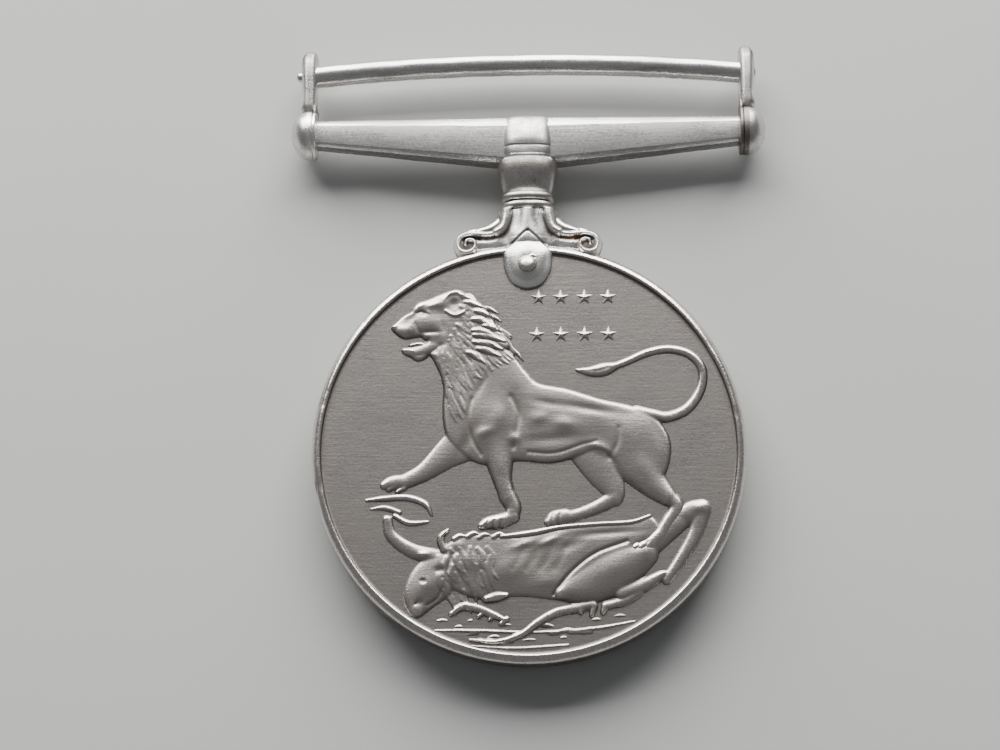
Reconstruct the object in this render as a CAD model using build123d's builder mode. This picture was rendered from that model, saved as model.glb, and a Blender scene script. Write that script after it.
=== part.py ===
"""Round service medal hung by a claw and pin from a fixed straight-bar suspender.

The medal lies on its back: +X is to the viewer's right, +Y runs from the disc up to the
suspender and +Z points out of the front face. The origin is the middle of the underside of
the whole medal's box. Heights that end in _y are measured along +Y from the disc's centre,
and the pieces are placed by planes through that centre.
"""

import os
from math import degrees, sqrt

from build123d import *

os.makedirs("parts", exist_ok=True)

# ---------------------------------------------------------------- driving dimensions, mm

# Disc
disc_diameter = 36.0
rim_thickness = 2.8
rim_width = 0.8
rim_step = 0.35
rim_outer_round = 0.28
rim_inner_round = 0.1

# Claw: a neck, two arms that end in scrolls on the rim, and a toe on each face of the disc
claw_rise = 3.15
neck_width = 4.9
neck_depth = 3.2
neck_straight = 0.35
arm_thickness = 2.3
scroll_offset = 5.23
scroll_radius = 1.15
scroll_eye_radius = 0.4
scroll_ring_width = 0.3
scroll_ring_depth = 0.25
shoulder_hollow_out = 0.6
shoulder_hollow_up = 1.67
neck_corner = 0.9
toe_width = 4.16
toe_length = 4.8
toe_reach = 4.05
toe_thickness = 0.85
toe_point_rise = 1.25
toe_sections = ((0, 0), (0.5, 0.1), (1, 0.65))

# Rivet pin through both toes and the disc
pin_diameter = 1.2
pin_inset = 2.05
pin_head_diameter = 1.5
pin_head_height = 0.45
pin_head_round = 0.3

# Collars between the claw and the boss, and the hidden post that holds the stack
collar_width = 4.5
collar_depth = 3.5
lower_collar_height = 0.78
upper_collar_height = 0.85
collar_corner = 1.4
collar_bead_share = 0.42
post_diameter = 1.8
post_in_claw = 2.0
post_in_boss = 1.6

# Boss: a barrel below, a plain sleeve round the bar above
barrel_width = 5.24
barrel_depth = 4.1
barrel_height = 3.3
barrel_foot_width = 4.2
barrel_foot_depth = 3.2
barrel_sections = ((0, 0), (0.25, 0.55), (0.6, 1), (0.85, 0.85), (1, 0.4))
boss_corner = 1.3
sleeve_width = 4.46
sleeve_depth = 3.5
sleeve_height = 3.9
sleeve_round = 0.45
groove_above_barrel = 0.75
groove_height = 0.18
groove_depth = 0.14

# Lower bar: deep at the boss, level along its top and tapered from below
inner_width = 36.6
bar_below_sleeve_top = 0.2
bar_middle_height = 4.45
bar_end_height = 2.35
bar_middle_depth = 2.5
bar_end_depth = 1.8
bar_middle_bevels = (0.95, 0.55, 0.65)
bar_end_bevels = (0.5, 0.3, 0.4)
bar_tenon_diameter = 1.3
bar_tenon_in_dome = 0.8

# Ends: upright lugs with a round flange at the foot, and the domes outside them
lug_thickness = 1.45
lug_waist_thickness = 1.3
lug_depth = 2.4
lug_above_rod = 2.2
lug_top_round = 0.7
lug_waist_rise = 0.9
lug_edge_round = 0.45
flange_thickness = 0.45
dome_diameter = 4.2
dome_height = 1.8
dome_rim = 0.25

# Ribbon rod: round, bowed upwards between the lugs, riveted over outside them
rod_diameter = 1.9
rod_bow = 0.93
slot_height = 3.45
tenon_diameter = 0.8
left_rivet_height = 0.45
right_rivet_height = 0.12
rivet_round = 0.1

# Clearances, each side
seat_clearance = 0.02
toe_clearance = 0.03
pin_clearance = 0.02
tenon_clearance = 0.02
seam_gap = 0.06

# ---------------------------------------------------------------------- derived positions

disc_radius = disc_diameter / 2
field_half = rim_thickness / 2 - rim_step
toe_back = field_half + toe_clearance
toe_front = toe_back + toe_thickness

neck_top_y = disc_radius + claw_rise
lower_collar_top_y = neck_top_y + lower_collar_height
upper_collar_top_y = lower_collar_top_y + upper_collar_height
barrel_top_y = upper_collar_top_y + barrel_height
sleeve_top_y = barrel_top_y + sleeve_height

bar_top_y = sleeve_top_y - bar_below_sleeve_top
bar_end_y = bar_top_y - bar_end_height / 2
dome_radius = dome_diameter / 2
shank_foot_y = bar_end_y + dome_radius + seam_gap
rod_end_y = bar_top_y + slot_height + rod_diameter / 2
lug_top_y = rod_end_y + lug_above_rod

lug_face_x = inner_width / 2
dome_face_x = lug_face_x + flange_thickness
lug_outer_x = lug_face_x + lug_thickness

scroll_y = sqrt((disc_radius + seat_clearance + scroll_radius) ** 2 - scroll_offset**2)
toe_centre_y = disc_radius - toe_reach + toe_length / 2
pin_y = disc_radius - pin_inset

half_depth = max(toe_front + pin_head_height, dome_radius, barrel_depth / 2)
disc_centre_y = (disc_radius - lug_top_y) / 2
centre = Vector(0, disc_centre_y, half_depth)


def front_plane(z):
    """A plane parallel to the disc's faces, z in front of its middle."""
    return Plane(origin=centre + Vector(0, 0, z))


def level_plane(y):
    """A plane square to the medal's long axis, y above the disc's centre."""
    return Plane(origin=centre + Vector(0, y, 0), x_dir=(1, 0, 0), z_dir=(0, 1, 0))


def side_plane(x):
    """A plane square to the bar, at x, with its own x along +Y and its own y along +Z."""
    return Plane(origin=centre + Vector(x, 0, 0), x_dir=(0, 1, 0), z_dir=(1, 0, 0))


def finish(builder, label):
    """Name a finished piece and write it."""
    builder.part.label = label
    export_step(builder.part, f"parts/{label}.step")


# --------------------------------------------------------------------------- medal_disc


def toe_outline(gap):
    """A half egg below, straight sides across the rim and a point above, grown by a gap."""
    half_width = toe_width / 2 + gap
    half_length = toe_length / 2 + gap
    with BuildSketch() as outline:
        with BuildLine():
            egg = EllipticalCenterArc(
                (0, toe_centre_y), half_width, half_length, start_angle=180, arc_size=180
            )
            Polyline(
                egg @ 1,
                (half_width, disc_radius),
                (0, disc_radius + toe_point_rise + gap),
                (-half_width, disc_radius),
                egg @ 0,
            )
        make_face()
    return outline.sketch


with BuildPart() as medal_disc:
    with BuildSketch(front_plane(0)):
        Circle(disc_radius)
    extrude(amount=rim_thickness / 2, both=True)
    outer_edges = medal_disc.edges().filter_by(GeomType.CIRCLE)
    outer_edges = outer_edges.group_by(Axis.Z)[0] + outer_edges.group_by(Axis.Z)[-1]
    fillet(outer_edges, rim_outer_round)
    # Recessed field and rim step on each face
    for face_z, depth in ((rim_thickness / 2, -rim_step), (-rim_thickness / 2, rim_step)):
        with BuildSketch(front_plane(face_z)):
            Circle(disc_radius - rim_width)
        extrude(amount=depth, mode=Mode.SUBTRACT)
    for level in (0, -1):
        rim_edges = medal_disc.edges().group_by(Axis.Z)[level]
        fillet(rim_edges.sort_by(SortBy.LENGTH)[0], rim_inner_round)
    # Notches that let the toes lie on the field
    for face_z, depth in ((field_half, rim_step), (-field_half, -rim_step)):
        with BuildSketch(front_plane(face_z)):
            add(toe_outline(toe_clearance))
        extrude(amount=depth, mode=Mode.SUBTRACT)
    with BuildSketch(front_plane(-field_half)):
        with Locations((0, pin_y)):
            Circle(pin_diameter / 2 + pin_clearance)
    extrude(amount=2 * field_half, mode=Mode.SUBTRACT)
finish(medal_disc, "medal_disc")

# --------------------------------------------------------------------------------- claw

with BuildPart() as claw:
    # Neck: a rounded block on the rim that thins towards the collars
    with BuildSketch(level_plane(disc_radius + seat_clearance)):
        RectangleRounded(toe_width, 2 * toe_front, neck_corner)
    with BuildSketch(level_plane(neck_top_y)):
        RectangleRounded(neck_width, neck_depth, neck_corner)
    loft()
    # Arms: a flat S on each side that ends in a round scroll on the rim
    with BuildSketch(front_plane(-arm_thickness / 2)):
        with BuildLine():
            shoulder = Line(
                (0, neck_top_y - neck_straight),
                (neck_width / 2, neck_top_y - neck_straight),
            )
            arm_top = ThreePointArc(
                shoulder @ 1,
                (neck_width / 2 + shoulder_hollow_out, scroll_y + shoulder_hollow_up),
                (scroll_offset, scroll_y + scroll_radius),
            )
            scroll_end = ThreePointArc(
                arm_top @ 1,
                (scroll_offset + scroll_radius, scroll_y),
                (scroll_offset, scroll_y - scroll_radius),
            )
            scroll_inside = CenterArc(
                (scroll_offset, scroll_y), scroll_radius, start_angle=270, arc_size=-90
            )
            Polyline(
                scroll_inside @ 1,
                (toe_width / 2, disc_radius + seam_gap),
                (0, disc_radius + seam_gap),
                shoulder @ 0,
            )
        make_face()
        mirror(about=Plane.YZ)
    extrude(amount=arm_thickness)
    # Sunk ring in each scroll, on both faces
    for face_z, depth in (
        (arm_thickness / 2, -scroll_ring_depth),
        (-arm_thickness / 2, scroll_ring_depth),
    ):
        with BuildSketch(front_plane(face_z)):
            with Locations((-scroll_offset, scroll_y), (scroll_offset, scroll_y)):
                Circle(scroll_eye_radius + scroll_ring_width)
                Circle(scroll_eye_radius, mode=Mode.SUBTRACT)
        extrude(amount=depth, mode=Mode.SUBTRACT)
    # Toes: domed eggs that clasp the disc from both faces
    for face in (1, -1):
        for share, shrink in toe_sections:
            with BuildSketch(front_plane(face * (toe_back + share * toe_thickness))):
                add(toe_outline(-shrink))
        loft()
    # Rivet hole through the toes and the socket for the post
    with BuildSketch(front_plane(-toe_front)):
        with Locations((0, pin_y)):
            Circle(pin_diameter / 2 + pin_clearance)
    extrude(amount=2 * toe_front, mode=Mode.SUBTRACT)
    with BuildSketch(level_plane(neck_top_y)):
        Circle(post_diameter / 2 + pin_clearance)
    extrude(amount=-post_in_claw, mode=Mode.SUBTRACT)
finish(claw, "claw")

# ----------------------------------------------------------------------------- claw_pin

with BuildPart() as claw_pin:
    with BuildSketch(front_plane(-toe_front)):
        with Locations((0, pin_y)):
            Circle(pin_diameter / 2)
    extrude(amount=2 * toe_front)
    for face in (1, -1):
        with BuildSketch(front_plane(face * toe_front)):
            with Locations((0, pin_y)):
                Circle(pin_head_diameter / 2)
        extrude(amount=face * pin_head_height)
    heads = claw_pin.edges().filter_by(GeomType.CIRCLE)
    fillet(heads.group_by(Axis.Z)[0] + heads.group_by(Axis.Z)[-1], pin_head_round)
finish(claw_pin, "claw_pin")

# ------------------------------------------------------------------ collars and the post

collars = (
    ("lower_collar", neck_top_y, lower_collar_height),
    ("upper_collar", lower_collar_top_y, upper_collar_height),
)
for label, foot_y, height in collars:
    with BuildPart() as collar:
        with BuildSketch(level_plane(foot_y)):
            RectangleRounded(collar_width, collar_depth, collar_corner)
        extrude(amount=height)
        rims = collar.edges().group_by(Axis.Y)
        fillet(rims[0] + rims[-1], height * collar_bead_share)
        with BuildSketch(level_plane(foot_y)):
            Circle(post_diameter / 2 + pin_clearance)
        extrude(amount=height, mode=Mode.SUBTRACT)
    finish(collar, label)

with BuildPart() as suspender_post:
    with BuildSketch(level_plane(neck_top_y - post_in_claw)):
        Circle(post_diameter / 2)
    extrude(amount=upper_collar_top_y - neck_top_y + post_in_claw + post_in_boss)
finish(suspender_post, "suspender_post")

# ------------------------------------------------------------------------ suspender_bar


def bar_section(height, depth, bevels):
    """The bar's eight-sided section: level along its top, bevelled above and below."""
    top_bevel, foot_bevel, depth_bevel = bevels
    front = [
        (bar_top_y, depth / 2 - depth_bevel),
        (bar_top_y - top_bevel, depth / 2),
        (bar_top_y - height + foot_bevel, depth / 2),
        (bar_top_y - height, depth / 2 - depth_bevel),
    ]
    back = [(y, -z) for y, z in reversed(front)]
    with BuildSketch() as section:
        with BuildLine():
            Polyline(*front, *back, close=True)
        make_face()
    return section.sketch


with BuildPart() as suspender_bar:
    for x, height, depth, bevels in (
        (-lug_face_x, bar_end_height, bar_end_depth, bar_end_bevels),
        (0, bar_middle_height, bar_middle_depth, bar_middle_bevels),
        (lug_face_x, bar_end_height, bar_end_depth, bar_end_bevels),
    ):
        with BuildSketch(side_plane(x)):
            add(bar_section(height, depth, bevels))
    loft(ruled=True)
    # A round tenon on each end, through the flange and into the dome
    for side in (1, -1):
        with BuildSketch(side_plane(side * lug_face_x)):
            with Locations((bar_end_y, 0)):
                Circle(bar_tenon_diameter / 2)
        extrude(amount=side * (flange_thickness + bar_tenon_in_dome))
finish(suspender_bar, "suspender_bar")

# ----------------------------------------------------------------------- suspender_boss

with BuildPart() as suspender_boss:
    for share, width_share in barrel_sections:
        width = barrel_foot_width + (barrel_width - barrel_foot_width) * width_share
        depth = barrel_foot_depth + (barrel_depth - barrel_foot_depth) * width_share
        with BuildSketch(level_plane(upper_collar_top_y + share * barrel_height)):
            RectangleRounded(width, depth, boss_corner)
    loft()
    with BuildSketch(level_plane(barrel_top_y)):
        RectangleRounded(sleeve_width, sleeve_depth, boss_corner)
    extrude(amount=sleeve_height)
    fillet(suspender_boss.edges().group_by(Axis.Y)[-1], sleeve_round)
    # Turned groove round the sleeve
    with BuildSketch(level_plane(barrel_top_y + groove_above_barrel)):
        Rectangle(2 * sleeve_width, 2 * sleeve_depth)
        RectangleRounded(
            sleeve_width - 2 * groove_depth,
            sleeve_depth - 2 * groove_depth,
            boss_corner - groove_depth,
            mode=Mode.SUBTRACT,
        )
    extrude(amount=groove_height, mode=Mode.SUBTRACT)
    # Seat for the bar and socket for the post
    add(suspender_bar.part, mode=Mode.SUBTRACT)
    with BuildSketch(level_plane(upper_collar_top_y)):
        Circle(post_diameter / 2 + pin_clearance)
    extrude(amount=post_in_boss, mode=Mode.SUBTRACT)
finish(suspender_boss, "suspender_boss")

# ---------------------------------------------------------------------------- end lugs

with BuildPart() as right_end_lug:
    # Flange between the bar's end and the dome
    with BuildSketch(side_plane(lug_face_x)):
        with Locations((bar_end_y, 0)):
            Circle(dome_radius)
        with Locations((bar_end_y, 0)):
            Rectangle(shank_foot_y - bar_end_y, lug_depth, align=(Align.MIN, Align.CENTER))
    extrude(amount=flange_thickness)
    # Shank: straight inside, slightly waisted and rounded outside
    with BuildSketch(front_plane(-lug_depth / 2)):
        with BuildLine():
            Polyline(
                (lug_face_x, lug_top_y),
                (lug_face_x, shank_foot_y),
                (lug_face_x + lug_waist_thickness, shank_foot_y),
            )
            outer = Spline(
                (lug_face_x + lug_waist_thickness, shank_foot_y),
                (lug_face_x + lug_waist_thickness, shank_foot_y + lug_waist_rise),
                (lug_outer_x, rod_end_y),
                (lug_outer_x, lug_top_y - lug_top_round),
                tangents=((0, 1), (0, 1)),
            )
            TangentArc(outer @ 1, (lug_outer_x - lug_top_round, lug_top_y), tangent=(0, 1))
            Line((lug_outer_x - lug_top_round, lug_top_y), (lug_face_x, lug_top_y))
        make_face()
    extrude(amount=lug_depth)
    shank_edges = right_end_lug.edges().filter_by(
        lambda edge: edge.center().X > lug_face_x + lug_waist_thickness / 2
        and abs(abs(edge.center().Z - half_depth) - lug_depth / 2) < seat_clearance
        and edge.center().Y > disc_centre_y + shank_foot_y + seat_clearance
    )
    fillet(shank_edges, lug_edge_round)
    # Holes for the bar's tenon and the rod's tenon
    with BuildSketch(side_plane(lug_face_x)):
        with Locations((bar_end_y, 0)):
            Circle(bar_tenon_diameter / 2 + tenon_clearance)
        with Locations((rod_end_y, 0)):
            Circle(tenon_diameter / 2 + tenon_clearance)
    extrude(amount=lug_thickness, mode=Mode.SUBTRACT)
finish(right_end_lug, "right_end_lug")

with BuildPart() as left_end_lug:
    mirror(right_end_lug.part, about=Plane.YZ)
finish(left_end_lug, "left_end_lug")

# --------------------------------------------------------------------------- end domes

with BuildPart() as right_end_dome:
    with BuildSketch(front_plane(0)):
        with BuildLine():
            Polyline(
                (dome_face_x + dome_height, bar_end_y),
                (dome_face_x, bar_end_y),
                (dome_face_x, bar_end_y + dome_radius),
                (dome_face_x + dome_rim, bar_end_y + dome_radius),
            )
            EllipticalCenterArc(
                (dome_face_x + dome_rim, bar_end_y),
                dome_height - dome_rim,
                dome_radius,
                start_angle=0,
                arc_size=90,
            )
        make_face()
    revolve(axis=Axis(centre + Vector(0, bar_end_y, 0), (1, 0, 0)))
    with BuildSketch(side_plane(dome_face_x)):
        with Locations((bar_end_y, 0)):
            Circle(bar_tenon_diameter / 2 + tenon_clearance)
    extrude(amount=bar_tenon_in_dome + tenon_clearance, mode=Mode.SUBTRACT)
finish(right_end_dome, "right_end_dome")

with BuildPart() as left_end_dome:
    mirror(right_end_dome.part, about=Plane.YZ)
finish(left_end_dome, "left_end_dome")

# ----------------------------------------------------------------------------- top_rod

# The rod's middle line is an arc that rises by the bow between the lugs. It is made a
# little long and trimmed square at the lug faces.
bow_radius = (lug_face_x**2 + rod_bow**2) / (2 * rod_bow)
bow_centre_y = rod_end_y + rod_bow - bow_radius
rod_turn = 2 * degrees((lug_face_x + rod_diameter) / bow_radius)

with BuildPart() as top_rod:
    with BuildLine(front_plane(0)) as bow:
        CenterArc(
            (0, bow_centre_y), bow_radius, start_angle=90 - rod_turn / 2, arc_size=rod_turn
        )
    with BuildSketch(Plane(origin=bow.line @ 0, z_dir=bow.line % 0)):
        Circle(rod_diameter / 2)
    sweep(path=bow.line)
    with BuildSketch(side_plane(-lug_face_x)):
        with Locations((rod_end_y + rod_bow / 2, 0)):
            Rectangle(rod_diameter + 2 * rod_bow, 2 * rod_diameter)
    extrude(amount=inner_width, mode=Mode.INTERSECT)
    # Tenons through the lugs, hammered over outside: proud on the left, nearly flush right
    for side, proud in ((-1, left_rivet_height), (1, right_rivet_height)):
        with BuildSketch(side_plane(side * lug_face_x)):
            with Locations((rod_end_y, 0)):
                Circle(tenon_diameter / 2)
        extrude(amount=side * (lug_thickness + proud))
        rivet_edge = top_rod.edges().sort_by(Axis.X)[0 if side < 0 else -1]
        fillet(rivet_edge, rivet_round)
finish(top_rod, "top_rod")
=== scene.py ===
"""A worn cupro-nickel service medal on a straight-bar suspender: its finished surfaces.

Everything is modelled in millimetres from the middle of the disc, with +X to the right, +Y up to
the suspender and +Z out of the front face. Each finished piece is then put in the frame's place
and metres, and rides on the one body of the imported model.
"""

import math
import random

import bmesh
import bpy
import numpy as np
from bpy.props import FloatProperty, FloatVectorProperty, IntProperty, PointerProperty
from mathutils import Matrix, Vector, noise


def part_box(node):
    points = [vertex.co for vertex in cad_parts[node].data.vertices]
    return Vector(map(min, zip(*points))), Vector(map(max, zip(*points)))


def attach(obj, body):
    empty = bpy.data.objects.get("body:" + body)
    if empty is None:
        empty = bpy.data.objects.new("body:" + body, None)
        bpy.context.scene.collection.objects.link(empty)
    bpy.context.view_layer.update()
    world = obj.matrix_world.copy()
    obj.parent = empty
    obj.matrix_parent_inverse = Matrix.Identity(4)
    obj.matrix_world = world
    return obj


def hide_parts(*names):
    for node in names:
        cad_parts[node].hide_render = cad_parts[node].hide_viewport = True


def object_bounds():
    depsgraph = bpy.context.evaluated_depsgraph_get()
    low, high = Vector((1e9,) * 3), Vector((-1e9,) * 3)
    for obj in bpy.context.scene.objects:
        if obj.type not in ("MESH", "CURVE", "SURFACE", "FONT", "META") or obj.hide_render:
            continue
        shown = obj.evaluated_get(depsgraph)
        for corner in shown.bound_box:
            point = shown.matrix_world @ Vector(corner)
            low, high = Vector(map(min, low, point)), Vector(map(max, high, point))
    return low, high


bl_info = {
    "name": "Service medal",
    "version": (1, 0, 0),
    "blender": (4, 5, 0),
    "location": "View3D > Sidebar > Medal",
    "description": "Models the disc, relief, claw and straight-bar suspender of a service medal",
    "category": "Object",
}

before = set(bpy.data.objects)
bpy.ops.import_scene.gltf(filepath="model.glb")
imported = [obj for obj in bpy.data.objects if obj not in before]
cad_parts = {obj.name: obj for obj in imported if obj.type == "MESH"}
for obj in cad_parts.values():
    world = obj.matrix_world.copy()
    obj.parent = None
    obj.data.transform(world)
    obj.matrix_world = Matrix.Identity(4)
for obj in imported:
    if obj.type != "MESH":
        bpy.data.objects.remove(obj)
CAD_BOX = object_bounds()

MM = 0.001
BODY = "root"


def frame_span(node):
    """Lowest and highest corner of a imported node, in millimetres from the middle of the disc."""
    low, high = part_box(node)
    return (low - CENTRE) / MM, (high - CENTRE) / MM


DISC_LOW, DISC_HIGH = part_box("medal_disc")
CENTRE = (DISC_LOW + DISC_HIGH) / 2
CLAW = frame_span("claw")
PIN = frame_span("claw_pin")
LOWER_COLLAR = frame_span("lower_collar")
UPPER_COLLAR = frame_span("upper_collar")
BOSS = frame_span("suspender_boss")
DOME = frame_span("right_end_dome")
LUG = frame_span("right_end_lug")
ROD = frame_span("top_rod")

DISC_RADIUS = (DISC_HIGH.x - DISC_LOW.x) / 2 / MM
RIM_FACE = (DISC_HIGH.z - DISC_LOW.z) / 2 / MM


# ------------------------------------------------------------------------------- settings


def distance(name, text, value):
    """A length in metres, given here in millimetres."""
    return FloatProperty(
        name=name, description=text, default=value * MM, min=0, unit="LENGTH", precision=5
    )


def colour(name, text, value):
    """A linear colour."""
    return FloatVectorProperty(
        name=name, description=text, default=value, size=3, min=0, max=1, subtype="COLOR"
    )


class MedalDiscSettings(bpy.types.PropertyGroup):
    """Sizes of the struck disc and its relief."""

    rim_width: distance("Rim width", "Width of the raised rim", 0.8)
    rim_step: distance("Rim step", "Height of the rim above the field", 0.35)
    relief_cell: distance("Relief cell", "Spacing of the mesh that carries the relief", 0.06)
    wreath_radius: distance("Wreath radius", "Radius of the wreath on the back", 13.2)
    wreath_leaves: IntProperty(
        name="Leaf pairs", description="Pairs of leaves on each branch", default=14, min=4
    )
    star_radius: distance("Star radius", "Radius of each small star", 0.92)


class MedalClawSettings(bpy.types.PropertyGroup):
    """Sizes of the claw and its pin."""

    claw_cell: distance("Claw cell", "Spacing of the mesh that carries the claw", 0.042)
    toe_crown: distance("Toe crown", "Height of each toe above the field", 0.88)
    crease_depth: distance("Crease depth", "Depth of the creases above the toe", 0.16)


class MedalSuspenderSettings(bpy.types.PropertyGroup):
    """Sizes of the suspender's parts that the frame's boxes don't give."""

    sleeve_width: distance("Sleeve width", "Width of the sleeve round the bar", 4.46)
    sleeve_height: distance("Sleeve height", "Height of the sleeve round the bar", 3.9)
    groove_depth: distance("Groove depth", "Depth of the turned groove in the sleeve", 0.14)
    bar_edge: distance("Bar edge", "Rounding along the bar's edges", 0.07)
    rod_diameter: distance("Rod diameter", "Diameter of the ribbon rod", 1.9)
    flange_thickness: distance("Flange", "Thickness of the round flange by each dome", 0.3)


class MedalFinishSettings(bpy.types.PropertyGroup):
    """Colours of the metal."""

    struck: colour("Struck metal", "Worn grey of the disc", (0.42, 0.39, 0.366))
    struck_dark: colour("Struck tarnish", "Tarnish of the disc", (0.19, 0.172, 0.158))
    cast: colour("Cast metal", "Worn grey of the claw and suspender", (0.68, 0.66, 0.635))
    cast_dark: colour("Cast tarnish", "Tarnish in the grooves", (0.17, 0.155, 0.142))
    drawn: colour("Drawn metal", "Worn grey of the bar and rod", (0.69, 0.67, 0.65))
    pin: colour("Pin metal", "Slightly warm grey of the pin", (0.64, 0.60, 0.54))
    residue: colour("Residue", "Orange-brown dirt by the scrolls", (0.36, 0.17, 0.07))


class MedalStageSettings(bpy.types.PropertyGroup):
    """Camera, light and floor."""

    lens: FloatProperty(
        name="Lens", description="Focal length", default=86.4, min=10, subtype="DISTANCE_CAMERA"
    )
    camera_place: FloatVectorProperty(
        name="Camera place",
        description="Place of the camera from the middle of the disc",
        default=(0.00408, -0.05372, 0.19214),
        subtype="TRANSLATION",
        precision=5,
    )
    camera_aim: FloatVectorProperty(
        name="Camera aim",
        description="Point that the camera looks at, from the middle of the disc",
        default=(-0.00238, 0.0067, 0.0),
        subtype="TRANSLATION",
        precision=5,
    )
    camera_roll: FloatProperty(
        name="Camera roll", description="Turn about the view", default=math.radians(-0.05),
        subtype="ANGLE",
    )
    window_power: FloatProperty(
        name="Window light", description="Power of the large soft light", default=9.0, min=0,
        unit="POWER",
    )
    sky: FloatProperty(name="Room light", description="Strength of the room's light", default=0.2)
    floor: colour("Floor", "Pale floor", (0.4, 0.4, 0.39))


# -------------------------------------------------------------------- shapes in millimetres


def curve(points, closed=False, steps=8):
    """Smooth line through points of any number of values, as rows of an array."""
    points = np.array(points, float)
    if closed:
        padded = np.vstack([points[-1:], points, points[:2]])
    else:
        before = 2 * points[:1] - points[1:2]
        after = 2 * points[-1:] - points[-2:-1]
        padded = np.vstack([before, points, after])
    rows = []
    for a, b, c, d in zip(padded, padded[1:], padded[2:], padded[3:]):
        for step in range(steps):
            t = step / steps
            rows.append(
                0.5 * (2 * b + (c - a) * t + (2 * a - 5 * b + 4 * c - d) * t**2
                       + (3 * b - a - 3 * c + d) * t**3)
            )
    if not closed:
        rows.append(points[-1])
    return np.array(rows)


def round_over(share):
    """Quarter round from 0 at an edge to 1, and its mirror image outside the edge."""
    share = np.clip(share, -1, 1)
    return np.sign(share) * np.sqrt(1 - (1 - np.abs(share)) ** 2)


def along(line, x, y):
    """For each span of a line: distance from it and the line's values at the nearest point."""
    for a, b in zip(line, line[1:]):
        run = b[:2] - a[:2]
        t = np.clip(((x - a[0]) * run[0] + (y - a[1]) * run[1]) / (run @ run + 1e-12), 0, 1)
        yield np.hypot(x - a[0] - t * run[0], y - a[1] - t * run[1]), a, b, t


def depth_inside(outline, x, y):
    """Distance inside a closed outline, negative outside it."""
    nearest = np.full(x.shape, np.inf)
    inside = np.zeros(x.shape, bool)
    for a, b in zip(outline, np.roll(outline, -1, axis=0)):
        run = b - a
        t = np.clip(((x - a[0]) * run[0] + (y - a[1]) * run[1]) / (run @ run + 1e-12), 0, 1)
        nearest = np.minimum(nearest, np.hypot(x - a[0] - t * run[0], y - a[1] - t * run[1]))
        if run[1]:
            inside ^= ((a[1] > y) != (b[1] > y)) & (x < a[0] + (y - a[1]) * run[0] / run[1])
    return np.where(inside, nearest, -nearest)


def blurred(field, passes):
    """A field smoothed by a small kernel."""
    for _ in range(passes):
        field = np.pad(field, 1, mode="edge")
        field = (field[:-2] + 2 * field[1:-1] + field[2:]) / 4
        field = (field[:, :-2] + 2 * field[:, 1:-1] + field[:, 2:]) / 4
    return field


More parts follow.
